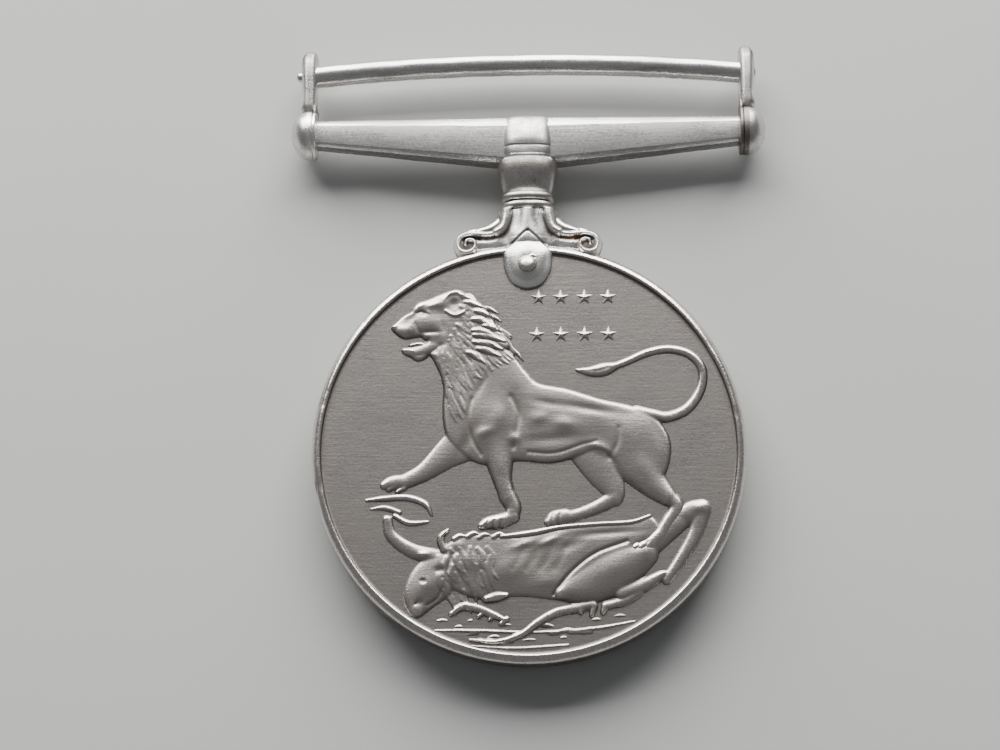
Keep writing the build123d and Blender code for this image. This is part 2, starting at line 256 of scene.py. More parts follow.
class Relief:
    """Heights over a patch of the face, built up form by form."""

    def __init__(self, low, high, cell, ground=-0.08):
        self.low = low
        self.cell = cell
        self.columns = round((high[0] - low[0]) / cell)
        self.rows = round((high[1] - low[1]) / cell)
        xs = low[0] + cell * np.arange(self.columns + 1)
        ys = low[1] + cell * np.arange(self.rows + 1)
        self.x, self.y = np.meshgrid(xs, ys)
        self.ground = ground
        self.height = np.full(self.x.shape, ground, float)

    def window(self, line, margin):
        """Rows and columns of the patch near a line."""
        low = (np.min(line[:, :2], axis=0) - margin - self.low) / self.cell
        high = (np.max(line[:, :2], axis=0) + margin - self.low) / self.cell
        rows = slice(max(0, int(low[1])), max(0, int(high[1]) + 2))
        columns = slice(max(0, int(low[0])), max(0, int(high[0]) + 2))
        return rows, columns

    def join(self, window, form, blend):
        """Keeps the higher of the patch and a form, with a fillet where they meet."""
        here = self.height[window]
        form = np.maximum(form, self.ground)
        if blend:
            share = np.clip(0.5 + 0.5 * (form - here) / blend, 0, 1)
            self.height[window] = here + (form - here) * share + blend * share * (1 - share)
        else:
            self.height[window] = np.maximum(here, form)

    def mound(self, points, rise, edge, lip=0.5, lip_edge=0.3, blend=0.0):
        """A closed outline that rises by a steep lip and then swells to its middle."""
        outline = curve(points, closed=True)
        window = self.window(outline, 0.3)
        depth = depth_inside(outline, self.x[window], self.y[window])
        share = lip * round_over(depth / lip_edge) + (1 - lip) * round_over(depth / edge)
        self.join(window, rise * share, blend)

    def limb(self, points, rise, blend=0.0):
        """A round-backed form along a line of (x, y, radius)."""
        line = curve(points)
        window = self.window(line, np.max(line[:, 2]) + 0.2)
        form = np.full(self.x[window].shape, -1.0)
        for away, a, b, t in along(line, self.x[window], self.y[window]):
            radius = np.maximum(a[2] + t * (b[2] - a[2]), 0.02)
            form = np.maximum(form, 1 - away / radius)
        self.join(window, rise * round_over(form), blend)

    def strand(self, points, proud, base, least=0.08):
        """A thin lock that lies on what was there before and sticks out past its edge."""
        line = curve(points, steps=4)
        window = self.window(line, np.max(line[:, 2]) + 0.1)
        form = np.full(self.x[window].shape, -1.0)
        for away, a, b, t in along(line, self.x[window], self.y[window]):
            radius = np.maximum(a[2] + t * (b[2] - a[2]), 0.02)
            form = np.maximum(form, 1 - away / radius)
        under = np.maximum(base[window], least)
        lock = np.where(form > 0, under + proud * round_over(form), self.ground)
        self.join(window, lock, 0)

    def swell(self, x, y, half_length, half_width, turn, amount):
        """A soft bump, or a hollow if the amount is negative, on what stands above the field."""
        reach = 2.6 * max(half_length, half_width)
        window = self.window(np.array([(x, y)]), reach)
        dx = self.x[window] - x
        dy = self.y[window] - y
        turn = math.radians(turn)
        u = (dx * math.cos(turn) + dy * math.sin(turn)) / half_length
        v = (dy * math.cos(turn) - dx * math.sin(turn)) / half_width
        standing = np.clip(self.height[window] / 0.12, 0, 1)
        self.height[window] += amount * np.exp(-(u**2) - v**2) * standing

    def crease(self, points, width, depth):
        """A groove along a line, or a fine ridge if the depth is negative."""
        line = curve(points)
        window = self.window(line, 3 * width)
        near = np.full(self.x[window].shape, np.inf)
        for away, _, _, _ in along(line, self.x[window], self.y[window]):
            near = np.minimum(near, away)
        standing = np.clip(self.height[window] / 0.1, 0, 1)
        self.height[window] -= depth * np.exp(-((near / width) ** 2)) * standing

    def soften(self, passes):
        self.height = blurred(self.height, passes)

    def wear(self, reach, depth):
        """1 on high points, 0 in hollows and a half on what is level."""
        passes = max(1, round((reach / self.cell) ** 2))
        proud = self.height - blurred(np.maximum(self.height, 0), min(passes, 90))
        return np.clip(0.5 + proud / depth, 0, 1)

    def skin(self, level, keep_above):
        """The patch as a mesh at a level, less the parts that stay under the field."""
        bm = bmesh.new()
        bmesh.ops.create_grid(bm, x_segments=self.columns, y_segments=self.rows, size=1)
        layer = bm.verts.layers.float.new("wear")
        wear = self.wear(0.5, 0.22)
        sunk = []
        for vert in bm.verts:
            column = round((vert.co.x + 1) / 2 * self.columns)
            row = round((vert.co.y + 1) / 2 * self.rows)
            height = self.height[row, column]
            vert.co = (self.x[row, column], self.y[row, column], level + height)
            vert[layer] = wear[row, column]
            if height <= keep_above:
                sunk.append(vert)
        bmesh.ops.delete(bm, geom=sunk, context="VERTS")
        return bm


def turn_profile(bm, points, axis, centre, steps, wear=()):
    """Turns an open profile of points into a full round skin."""
    verts = [bm.verts.new(point) for point in points]
    if wear:
        layer = bm.verts.layers.float.new("wear")
        verts = list(bm.verts)
        for vert, value in zip(verts, wear):
            vert[layer] = value
    edges = [bm.edges.new(pair) for pair in zip(verts, verts[1:])]
    bmesh.ops.spin(
        bm, geom=verts + edges, cent=centre, axis=axis, angle=2 * math.pi, steps=steps,
        use_merge=True, use_duplicate=False,
    )
    bmesh.ops.remove_doubles(bm, verts=bm.verts, dist=1e-5)


def arc(centre_x, centre_y, radius, start, end, steps):
    """Points of an arc between two angles in degrees."""
    angles = [math.radians(start + (end - start) * k / steps) for k in range(steps + 1)]
    return [(centre_x + radius * math.cos(a), centre_y + radius * math.sin(a)) for a in angles]


def stack_rings(bm, rings, count=96):
    """A closed skin through rings of (x, y, half width, half depth, squareness) along Y."""
    last_edges = []
    for index, (x, y, half_width, half_depth, squareness) in enumerate(rings):
        made = bmesh.ops.create_circle(bm, cap_ends=False, segments=count, radius=1)
        ring = made["verts"]
        for vert in ring:
            across, deep = vert.co.x, vert.co.y
            power = 2 / squareness
            vert.co = (
                x + half_width * math.copysign(abs(across) ** power, across),
                y,
                half_depth * math.copysign(abs(deep) ** power, deep),
            )
        edges = list({edge for vert in ring for edge in vert.link_edges})
        if index:
            bmesh.ops.bridge_loops(bm, edges=last_edges + edges)
        if index in (0, len(rings) - 1):
            bmesh.ops.edgeloop_fill(bm, edges=edges)
        last_edges = edges


def mark_wear(bm, steps, gain, level=0.5):
    """Stores 1 on outside edges, 0 in corners and a level value on what is flat."""
    bm.verts.index_update()
    bm.normal_update()
    places = np.array([vert.co for vert in bm.verts])
    normals = np.array([vert.normal for vert in bm.verts])
    pairs = np.array([(edge.verts[0].index, edge.verts[1].index) for edge in bm.edges])
    first = np.concatenate([pairs[:, 0], pairs[:, 1]])
    second = np.concatenate([pairs[:, 1], pairs[:, 0]])
    count = np.bincount(first, minlength=len(places))
    soft = places.copy()
    for _ in range(steps):
        total = [np.bincount(first, soft[second, k], len(places)) for k in range(3)]
        soft = np.stack(total, axis=1) / count[:, None]
    proud = np.einsum("ij,ij->i", places - soft, normals)
    layer = bm.verts.layers.float.new("wear")
    for vert, value in zip(bm.verts, np.clip(level + gain * proud, 0, 1)):
        vert[layer] = value


def roughen(bm, size, amount, seed):
    """Small smooth unevenness, as on metal that was filed, cleaned and worn."""
    bm.normal_update()
    shift = Vector((seed * 7.1, seed * 3.7, seed * 1.3))
    moves = [noise.noise(vert.co / size + shift) * amount for vert in bm.verts]
    for vert, move in zip(bm.verts, moves):
        vert.co += vert.normal * move


def finish_piece(bm, name, material, stands_for=None, recalculate=True):
    """Puts a piece modelled in millimetres in its place in the frame."""
    if recalculate:
        bmesh.ops.recalc_face_normals(bm, faces=bm.faces)
    bmesh.ops.scale(bm, vec=(MM, MM, MM), verts=bm.verts)
    bmesh.ops.translate(bm, vec=CENTRE, verts=bm.verts)
    for vert in bm.verts:
        vert.co = [min(max(at, low), high) for at, low, high in zip(vert.co, *CAD_BOX)]
    mesh = bpy.data.meshes.new(name)
    bm.to_mesh(mesh)
    bm.free()
    mesh.polygons.foreach_set("use_smooth", [True] * len(mesh.polygons))
    mesh.materials.append(material)
    piece = bpy.data.objects.new(name, mesh)
    bpy.context.scene.collection.objects.link(piece)
    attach(piece, BODY)
    if stands_for:
        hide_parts(stands_for)
    return piece


# ------------------------------------------------------------------------------ materials


class Finish:
    """Short-hand for the nodes of one worn metal, read from the object's own coordinates."""

    def __init__(self, name):
        self.material = bpy.data.materials.new(name)
        self.material.use_nodes = True
        self.tree = self.material.node_tree
        self.shader = self.tree.nodes["Principled BSDF"]
        self.place = self.add("ShaderNodeTexCoord").outputs["Object"]
        wear = self.add("ShaderNodeAttribute")
        wear.attribute_name = "wear"
        self.wear = wear.outputs["Fac"]

    def add(self, kind, **settings):
        made = self.tree.nodes.new(kind)
        for key, value in settings.items():
            setattr(made, key, value)
        return made

    def feed(self, socket, value):
        if isinstance(value, bpy.types.NodeSocket):
            self.tree.links.new(value, socket)
        else:
            socket.default_value = value

    def grain(self, size, detail=3.0, stretch=(1, 1, 1), roughness=0.55):
        """Noise with features of a size in millimetres, longer along the stretched axes."""
        mapping = self.add("ShaderNodeMapping")
        self.feed(mapping.inputs["Vector"], self.place)
        mapping.inputs["Scale"].default_value = [1 / (size * MM * s) for s in stretch]
        grain = self.add("ShaderNodeTexNoise")
        self.feed(grain.inputs["Vector"], mapping.outputs["Vector"])
        grain.inputs["Scale"].default_value = 1
        grain.inputs["Detail"].default_value = detail
        grain.inputs["Roughness"].default_value = roughness
        return grain.outputs["Fac"]

    def spread(self, value, low, high, start=0.0, end=1.0):
        """Takes a value from one range to another, and no further."""
        made = self.add("ShaderNodeMapRange", clamp=True)
        self.feed(made.inputs["Value"], value)
        made.inputs["From Min"].default_value = low
        made.inputs["From Max"].default_value = high
        made.inputs["To Min"].default_value = start
        made.inputs["To Max"].default_value = end
        return made.outputs["Result"]

    def work(self, operation, first, second):
        made = self.add("ShaderNodeMath", operation=operation)
        self.feed(made.inputs[0], first)
        self.feed(made.inputs[1], second)
        return made.outputs[0]

    def near(self, x, y, z, reach):
        """1 at a place in millimetres from the disc's middle, falling to 0 at its reach."""
        away = self.add("ShaderNodeVectorMath", operation="DISTANCE")
        self.feed(away.inputs[0], self.place)
        away.inputs[1].default_value = CENTRE + Vector((x, y, z)) * MM
        return self.spread(away.outputs["Value"], reach * MM, 0.2 * reach * MM)

    def blend(self, share, first, second):
        """Mixes two colours."""
        made = self.add("ShaderNodeMix", data_type="RGBA")
        self.feed(made.inputs["Factor"], share)
        for socket, value in ((made.inputs[6], first), (made.inputs[7], second)):
            self.feed(socket, value if isinstance(value, bpy.types.NodeSocket) else (*value, 1))
        return made.outputs[2]

    def metal(self, base, roughness, relief, relief_depth):
        """Joins colour, roughness and fine surface relief to the shader."""
        self.shader.inputs["Metallic"].default_value = 1.0
        self.feed(self.shader.inputs["Base Color"], base)
        self.feed(self.shader.inputs["Roughness"], roughness)
        bump = self.add("ShaderNodeBump")
        bump.inputs["Strength"].default_value = 1.0
        bump.inputs["Distance"].default_value = relief_depth * MM
        self.feed(bump.inputs["Height"], relief)
        self.feed(self.shader.inputs["Normal"], bump.outputs["Normal"])
        return self.material


def struck_metal(finish):
    """The disc: satin grey-brown with fine level streaks, pits and bright worn high points."""
    make = Finish("worn_struck_metal")
    blotch = make.grain(4.0, 4)
    fine = make.grain(0.22, 4, roughness=0.7)
    streak = make.grain(0.16, 3, stretch=(14, 1, 1))
    slant = make.grain(0.12, 2, stretch=(1, 9, 1))
    tarnish = make.work("ADD", make.spread(blotch, 0.4, 0.62, 0.0, 0.5),
                        make.spread(streak, 0.36, 0.66, 0.0, 0.32))
    tarnish = make.work("ADD", tarnish, make.spread(fine, 0.42, 0.62, 0.0, 0.38))
    tarnish = make.work("ADD", tarnish, make.spread(make.wear, 0.1, 0.62, 0.8, -0.3))
    tone = make.blend(make.spread(tarnish, 0.0, 1.1), finish.struck, finish.struck_dark)
    polished = [min(1, value * 1.9) for value in finish.struck]
    rubbed = make.work("MULTIPLY", make.spread(make.wear, 0.62, 0.95),
                       make.spread(fine, 0.3, 0.6, 0.45, 1.0))
    base = make.blend(rubbed, tone, polished)
    rough = make.work("ADD", make.spread(tarnish, 0.0, 1.1, 0.27, 0.41),
                      make.spread(make.wear, 0.6, 1.0, 0.0, -0.1))
    surface = make.work("ADD", make.work("MULTIPLY", streak, 0.26),
                        make.work("MULTIPLY", fine, 0.42))
    surface = make.work("ADD", surface, make.work("MULTIPLY", slant, 0.25))
    return make.metal(base, rough, surface, 0.03)


def cast_metal(finish):
    """Claw, collars, boss, lugs and domes: mottled light grey, dark and dull in the grooves."""
    make = Finish("worn_cast_metal")
    blotch = make.grain(1.6, 4)
    fine = make.grain(0.2, 4, roughness=0.7)
    file_marks = make.grain(0.1, 3, stretch=(8, 1, 1))
    dirt = make.work("ADD", make.spread(make.wear, 0.08, 0.46, 0.95, 0.05),
                     make.spread(blotch, 0.42, 0.68, 0.0, 0.3))
    dirt = make.work("ADD", dirt, make.spread(fine, 0.44, 0.64, 0.0, 0.26))
    tone = make.blend(make.spread(dirt, 0.1, 1.1), finish.cast, finish.cast_dark)
    bright = [min(1, value * 1.25) for value in finish.cast]
    tone = make.blend(make.spread(make.wear, 0.58, 0.9), tone, bright)
    under_arm = make.work("MAXIMUM", make.near(4.0, 18.2, 0.9, 1.3),
                          make.near(6.3, 17.5, 0.9, 0.9))
    under_arm = make.work("MAXIMUM", under_arm, make.near(2.5, 20.5, 1.0, 0.9))
    under_arm = make.work("MULTIPLY", under_arm, make.spread(fine, 0.38, 0.62))
    under_arm = make.work("MULTIPLY", under_arm, make.spread(make.wear, 0.62, 0.4))
    base = make.blend(under_arm, tone, finish.residue)
    rough = make.work("ADD", make.spread(dirt, 0.1, 1.1, 0.26, 0.48),
                      make.spread(blotch, 0.3, 0.7, -0.03, 0.05))
    surface = make.work("ADD", make.work("MULTIPLY", fine, 0.6),
                        make.work("MULTIPLY", file_marks, 0.4))
    return make.metal(base, rough, surface, 0.025)


def drawn_metal(finish):
    """Bar and rod: light grey with fine lengthwise lines and small nicks."""
    make = Finish("worn_drawn_metal")
    lines = make.grain(0.09, 3, stretch=(40, 1, 1))
    blotch = make.grain(2.5, 4, stretch=(3, 1, 1))
    fine = make.grain(0.2, 4, roughness=0.7)
    dirt = make.work("ADD", make.spread(blotch, 0.42, 0.66, 0.0, 0.4),
                     make.spread(lines, 0.44, 0.64, 0.0, 0.4))
    dirt = make.work("ADD", dirt, make.spread(make.wear, 0.1, 0.5, 0.6, 0.0))
    base = make.blend(make.spread(dirt, 0.0, 1.1), finish.drawn, finish.cast_dark)
    rough = make.work("ADD", make.spread(dirt, 0.0, 1.0, 0.23, 0.4),
                      make.spread(fine, 0.3, 0.7, -0.03, 0.05))
    surface = make.work("ADD", make.work("MULTIPLY", lines, 0.5),
                        make.work("MULTIPLY", fine, 0.35))
    return make.metal(base, rough, surface, 0.011)


def pin_metal(finish):
    """The pin's hammered head: slightly warm and smoother on its crown."""
    make = Finish("worn_pin_metal")
    blotch = make.grain(0.6, 3)
    fine = make.grain(0.15, 4, roughness=0.7)
    dirt = make.work("ADD", make.spread(make.wear, 0.1, 0.6, 0.8, 0.0),
                     make.spread(blotch, 0.45, 0.7, 0.0, 0.3))
    base = make.blend(make.spread(dirt, 0.0, 1.1), finish.pin, finish.cast_dark)
    rough = make.work("ADD", make.spread(dirt, 0.0, 1.0, 0.24, 0.45),
                      make.spread(fine, 0.3, 0.7, -0.02, 0.04))
    return make.metal(base, rough, fine, 0.015)


def material(name, build, finish):
    """The material of that name, made on first use."""
    return bpy.data.materials.get(name) or build(finish)


# ------------------------------------------------------------------------------- the disc


def disc_profile(rim_width, rim_step):
    """Half section of the disc's front half, from the middle to the outside, with its wear."""
    field = RIM_FACE - rim_step
    inner = DISC_RADIUS - rim_width
    crest = inner + 0.2
    fullness = 1.6
    foot = ((0, 0.5), (4, 0.5), (8, 0.5), (12, 0.5), (inner - 1.2, 0.5), (inner - 0.6, 0.45),
            (inner - 0.25, 0.3), (inner - 0.08, 0.1))
    rows = [(r, field, wear) for r, wear in foot]
    rows.append((inner, field + 0.03, 0.05))
    for across, up in arc(0, 0, 1, 180, 90, 7)[1:]:
        rows.append((crest + (crest - inner) * across, field + 0.06 + (rim_step - 0.06) * up,
                     0.3 + 0.65 * up))
    for index in range(1, 13):
        across = math.sin(math.radians(90 * index / 12))
        up = (1 - across**fullness) ** (1 / fullness) if across < 1 else 0
        rows.append((crest + (DISC_RADIUS - crest) * across, RIM_FACE - 0.6 * (1 - up), 0.88))
    rows.append((DISC_RADIUS, RIM_FACE - 0.8, 0.5))
    rows.append((DISC_RADIUS, 0, 0.45))
    return rows


class MEDAL_OT_disc(bpy.types.Operator):
    """Model the struck disc with its raised, slightly knocked rim"""

    bl_idname = "medal.disc"
    bl_label = "Disc"

    def execute(self, context):
        sizes = context.scene.medal_disc
        rows = disc_profile(sizes.rim_width / MM, sizes.rim_step / MM)
        whole = rows + [(r, -z, wear) for r, z, wear in reversed(rows[:-1])]
        bm = bmesh.new()
        turn_profile(bm, [(r, 0, z) for r, z, _ in whole], (0, 0, 1), (0, 0, 0), 360,
                     wear=[wear for _, _, wear in whole])
        dice = random.Random(4)
        knocks = [(dice.uniform(0, 2 * math.pi), dice.uniform(0.006, 0.03),
                   dice.choice((-1, 1)), dice.uniform(0.02, 0.06)) for _ in range(46)]
        for vert in bm.verts:
            r = math.hypot(vert.co.x, vert.co.y)
            if r < DISC_RADIUS - sizes.rim_width / MM + 0.05:
                continue
            angle = math.atan2(vert.co.y, vert.co.x)
            sink = 0.012 * (1 + noise.noise(Vector((vert.co.x, vert.co.y, 0)) / 2.3))
            for place, half_width, side, depth in knocks:
                away = (angle - place + math.pi) % (2 * math.pi) - math.pi
                if vert.co.z * side > 0:
                    sink += depth * math.exp(-((away / half_width) ** 2)) * 0.6
            vert.co.z -= math.copysign(sink, vert.co.z) if abs(vert.co.z) > 1.1 else 0
            vert.co.x *= 1 - sink * 0.25 / DISC_RADIUS
            vert.co.y *= 1 - sink * 0.25 / DISC_RADIUS
        metal = material("worn_struck_metal", struck_metal, context.scene.medal_finish)
        finish_piece(bm, "struck_disc", metal, "medal_disc")
        return {"FINISHED"}


# ------------------------------------------------------------------------- front relief


def lion_far_legs(relief):
    """The two legs on the far side, which stand lowest."""
    relief.limb([(-4.6, 1.0, 1.9), (-6.6, -0.4, 1.25), (-8.6, -2.0, 0.78), (-10.4, -2.9, 0.62)],
                0.2, 0.03)
    relief.limb([(-10.2, -2.8, 0.62), (-11.2, -2.9, 0.6), (-11.9, -3.1, 0.35)], 0.22, 0.03)
    relief.limb([(4.6, 0.2, 1.6), (6.0, -1.8, 1.5), (7.0, -3.6, 0.95), (7.15, -4.4, 0.62)],
                0.19, 0.03)
    relief.limb([(7.1, -4.3, 0.66), (5.6, -5.1, 0.55), (3.8, -5.75, 0.5), (2.6, -5.9, 0.6)],
                0.2, 0.03)
    relief.limb([(3.0, -5.8, 0.62), (2.2, -6.0, 0.66), (1.6, -6.3, 0.35)], 0.24, 0.02)
    for x, y in ((-12.0, -3.1), (-11.6, -3.55), (-10.9, -3.7)):
        relief.limb([(x + 0.7, y + 0.35, 0.22), (x, y, 0.12)], 0.2)
    for x in (1.5, 1.95, 2.5):
        relief.crease([(x + 0.05, -5.6), (x - 0.1, -6.5)], 0.07, 0.08)


def lion_body(relief):
    """Neck, trunk, rump and the muscles that show under the skin."""
    trunk = [(-3.4, 9.6), (-1.5, 8.4), (-0.1, 6.6), (0.9, 5.6), (3.2, 5.1), (6.0, 4.2),
             (8.7, 3.5), (10.6, 2.5), (11.7, 0.7), (11.6, -1.4), (10.6, -3.2), (8.4, -2.9),
             (7.0, -1.2), (5.9, -0.3), (4.2, -0.8), (1.8, -1.3), (-0.8, -1.1), (-3.6, -1.4),
             (-5.8, -0.3), (-6.9, 1.4), (-7.1, 4.4), (-6.4, 7.4)]
    relief.mound(trunk, 0.36, 3.2, lip=0.42, lip_edge=0.34)
    relief.limb([(8.7, 1.2, 2.3), (8.9, -0.8, 2.1), (10.0, -2.8, 1.35), (11.4, -4.2, 0.8)],
                0.36, 0.06)
    relief.limb([(11.0, -3.9, 0.8), (12.15, -5.0, 0.62), (11.4, -6.4, 0.56), (10.7, -7.6, 0.6)],
                0.31, 0.03)
    relief.limb([(10.8, -7.4, 0.6), (9.8, -8.3, 0.62), (8.7, -8.5, 0.45)], 0.33, 0.02)
    relief.limb([(-3.0, 2.0, 1.8), (-2.45, -0.6, 1.25), (-2.15, -2.6, 0.8), (-1.7, -4.2, 0.66)],
                0.38, 0.05)
    relief.limb([(-1.7, -4.1, 0.76), (-1.25, -5.0, 0.66), (-1.4, -5.8, 0.62)], 0.35, 0.02)
    relief.limb([(-1.2, -5.8, 0.5), (-2.3, -6.2, 0.62), (-3.3, -6.35, 0.5), (-3.9, -6.6, 0.25)],
                0.36, 0.02)
    shapes = (
        (-3.1, 2.7, 1.5, 1.7, 70, 0.1), (-5.3, 3.6, 0.9, 2.4, 15, 0.05),
        (-1.0, 5.4, 2.0, 1.2, -50, 0.04), (0.9, 2.5, 0.7, 0.5, 10, 0.07),
        (3.0, 2.0, 0.9, 0.55, -8, 0.085), (5.0, 3.3, 2.3, 0.36, -10, -0.08),
        (-0.8, 3.1, 0.5, 1.9, 10, -0.07), (2.0, 0.7, 2.3, 0.45, 4, -0.055),
        (5.9, 1.4, 0.8, 1.6, 10, -0.05), (8.6, 1.0, 1.7, 1.9, 0, 0.06),
        (6.0, -0.1, 0.95, 0.4, -28, 0.1), (-1.15, 0.75, 0.42, 0.42, 0, 0.11),
        (-3.5, 1.35, 0.75, 0.4, 20, 0.07), (-2.4, 2.6, 0.5, 0.9, 0, 0.05),
        (1.6, 3.8, 1.2, 0.35, -12, -0.05), (-4.0, 5.2, 1.2, 0.3, 60, -0.05),
        (-3.8, 0.9, 0.6, 0.8, 20, 0.05), (-5.0, 0.6, 0.5, 1.6, -30, -0.06),
        (9.6, -1.9, 0.6, 1.1, 30, 0.05), (10.8, 1.2, 0.5, 1.3, 20, -0.04),
        (-2.2, -1.6, 0.4, 1.0, 10, 0.04), (-1.3, -3.9, 0.3, 0.9, 0, 0.03),
    )
    for x, y, half_length, half_width, turn, amount in shapes:
        relief.swell(x, y, half_length, half_width, turn, amount)
    relief.crease([(-1.4, 4.4), (-0.8, 2.9), (-1.0, 1.3), (-1.2, 0.0)], 0.2, 0.06)
    relief.crease([(-4.7, 4.2), (-5.0, 2.4), (-4.6, 0.7), (-3.9, -0.6)], 0.16, 0.06)
    relief.crease([(0.0, -0.4), (2.2, -0.5), (4.4, 0.2), (5.6, 0.5)], 0.13, 0.05)
    relief.crease([(6.7, -0.9), (7.4, 0.4), (7.5, 1.6)], 0.2, 0.04)
    relief.crease([(8.3, -3.0), (9.7, -4.2), (10.9, -5.3)], 0.14, 0.06)
    for x in (8.6, 9.1, 9.7):
        relief.crease([(x, -8.0), (x - 0.25, -8.8)], 0.07, 0.1)
    for x in (-3.5, -2.95, -2.4):
        relief.crease([(x + 0.15, -6.2), (x - 0.1, -7.1)], 0.07, 0.11)


def lion_tail(relief):
    """One long loop that ends in a pointed tuft."""
    relief.limb([(9.0, 3.0, 0.6), (10.3, 2.75, 0.52), (11.6, 2.6, 0.46), (13.2, 3.3, 0.43),
                 (14.3, 4.9, 0.4), (14.5, 6.7, 0.38), (13.5, 8.0, 0.37), (11.8, 8.5, 0.36),
                 (10.0, 8.2, 0.34), (8.4, 7.5, 0.32), (6.9, 6.9, 0.3)], 0.24, 0.03)
    relief.limb([(7.4, 7.1, 0.3), (6.3, 6.75, 0.58), (5.2, 6.6, 0.42), (4.0, 6.75, 0.08)],
                0.26, 0.03)
    relief.crease([(6.8, 6.9), (5.8, 6.6), (4.7, 6.65)], 0.07, 0.05)


def lion_head(relief):
    """Skull, muzzle, open mouth and ear, seen from the side."""
    skull = [(-11.5, 10.65), (-11.25, 10.9), (-10.9, 11.25), (-10.4, 11.68), (-9.9, 11.95),
             (-9.72, 12.3), (-9.3, 12.78), (-8.6, 13.0), (-7.9, 13.3), (-7.2, 13.6),
             (-6.4, 13.85), (-5.5, 13.8), (-4.8, 12.7), (-4.6, 10.7), (-5.8, 9.1), (-7.4, 8.8),
             (-8.6, 9.4), (-9.0, 9.75), (-9.6, 9.68), (-10.3, 9.6), (-10.8, 9.8), (-11.35, 10.25)]
    relief.mound(skull, 0.33, 1.5, lip=0.5, lip_edge=0.28)
    relief.limb([(-7.8, 9.0, 0.75), (-8.7, 8.6, 0.62), (-9.5, 8.4, 0.5), (-10.3, 8.5, 0.28)],
                0.27, 0.03)
    relief.swell(-10.35, 10.3, 0.72, 0.45, 0, 0.11)
    relief.swell(-11.3, 10.68, 0.2, 0.16, 0, 0.07)
    relief.swell(-11.15, 10.42, 0.16, 0.1, 30, -0.1)
    relief.swell(-8.25, 10.95, 0.85, 0.6, -5, 0.06)
    relief.swell(-9.15, 12.38, 0.5, 0.2, 35, 0.08)
    relief.swell(-8.0, 12.5, 0.6, 0.24, 12, 0.07)
    relief.swell(-8.95, 11.84, 0.36, 0.21, -8, -0.18)
    relief.swell(-8.97, 11.8, 0.15, 0.11, 0, 0.15)
    relief.swell(-9.75, 11.35, 0.26, 0.6, -50, -0.05)
    relief.swell(-8.2, 10.12, 0.7, 0.16, 0, -0.09)
    relief.swell(-7.1, 10.6, 0.25, 0.8, 10, -0.07)
    relief.swell(-7.4, 12.7, 1.1, 0.4, 22, 0.04)
    relief.swell(-7.2, 11.8, 0.5, 0.5, 0, -0.06)
    relief.crease([(-11.1, 11.0), (-10.5, 11.5), (-9.9, 11.8)], 0.13, -0.05)
    relief.crease([(-9.4, 11.98), (-8.9, 12.08), (-8.3, 11.85)], 0.07, -0.05)
    relief.crease([(-11.3, 10.35), (-11.0, 10.05), (-10.3, 9.9), (-9.6, 9.95)], 0.08, 0.06)
    relief.crease([(-9.45, 10.9), (-9.3, 10.4), (-9.0, 10.0)], 0.14, 0.05)
    relief.crease([(-9.3, 9.45), (-8.7, 9.2), (-8.4, 9.5)], 0.13, 0.12)
    relief.limb([(-9.9, 9.0, 0.14), (-9.4, 9.1, 0.2), (-8.8, 9.15, 0.14)], 0.26)
    relief.limb([(-10.5, 8.62, 0.12), (-10.0, 8.6, 0.18), (-9.6, 8.45, 0.14)], 0.3)
    relief.limb([(-9.7, 8.2, 0.3), (-9.2, 7.95, 0.34), (-8.7, 8.1, 0.3)], 0.22, 0.03)
    relief.swell(-6.2, 12.6, 0.4, 0.5, 0, -0.14)
    relief.limb([(-6.9, 12.0, 0.16), (-6.4, 11.65, 0.24), (-5.9, 11.6, 0.26), (-5.3, 11.95, 0.16)],
                0.42, 0.01)
    relief.limb([(-7.1, 12.9, 0.2), (-6.6, 13.5, 0.25), (-5.9, 13.62, 0.27), (-5.4, 13.1, 0.2)],
                0.37, 0.02)


def comb(relief, outline, flow, spacing, length, width, proud, seed):
    """Covers an outline with overlapping locks that lie along a flow."""
    base = relief.height.copy()
    dice = random.Random(seed)
    low = np.min(outline, axis=0)
    high = np.max(outline, axis=0)
    xs, ys = np.meshgrid(np.arange(low[0], high[0], spacing), np.arange(low[1], high[1], spacing))
    xs[1::2] += spacing / 2
    inside = depth_inside(outline, xs, ys)
    for x, y, depth in zip(xs.flat, ys.flat, inside.flat):
        root = Vector((x + dice.uniform(-0.12, 0.12), y + dice.uniform(-0.12, 0.12)))
        run = flow(root).normalized() * length * dice.uniform(0.75, 1.15)
        bend = Vector((-run.y, run.x)) * dice.uniform(-0.24, 0.14)
        wide = width * dice.uniform(0.75, 1.1)
        high_part = proud * dice.uniform(0.55, 1.0)
        if depth < 0.1:
            continue
        middle = root + run * 0.5 + bend
        relief.strand([(*root, wide * 0.7), (*middle, wide), (*(root + run), 0.03)],
                      high_part, base)


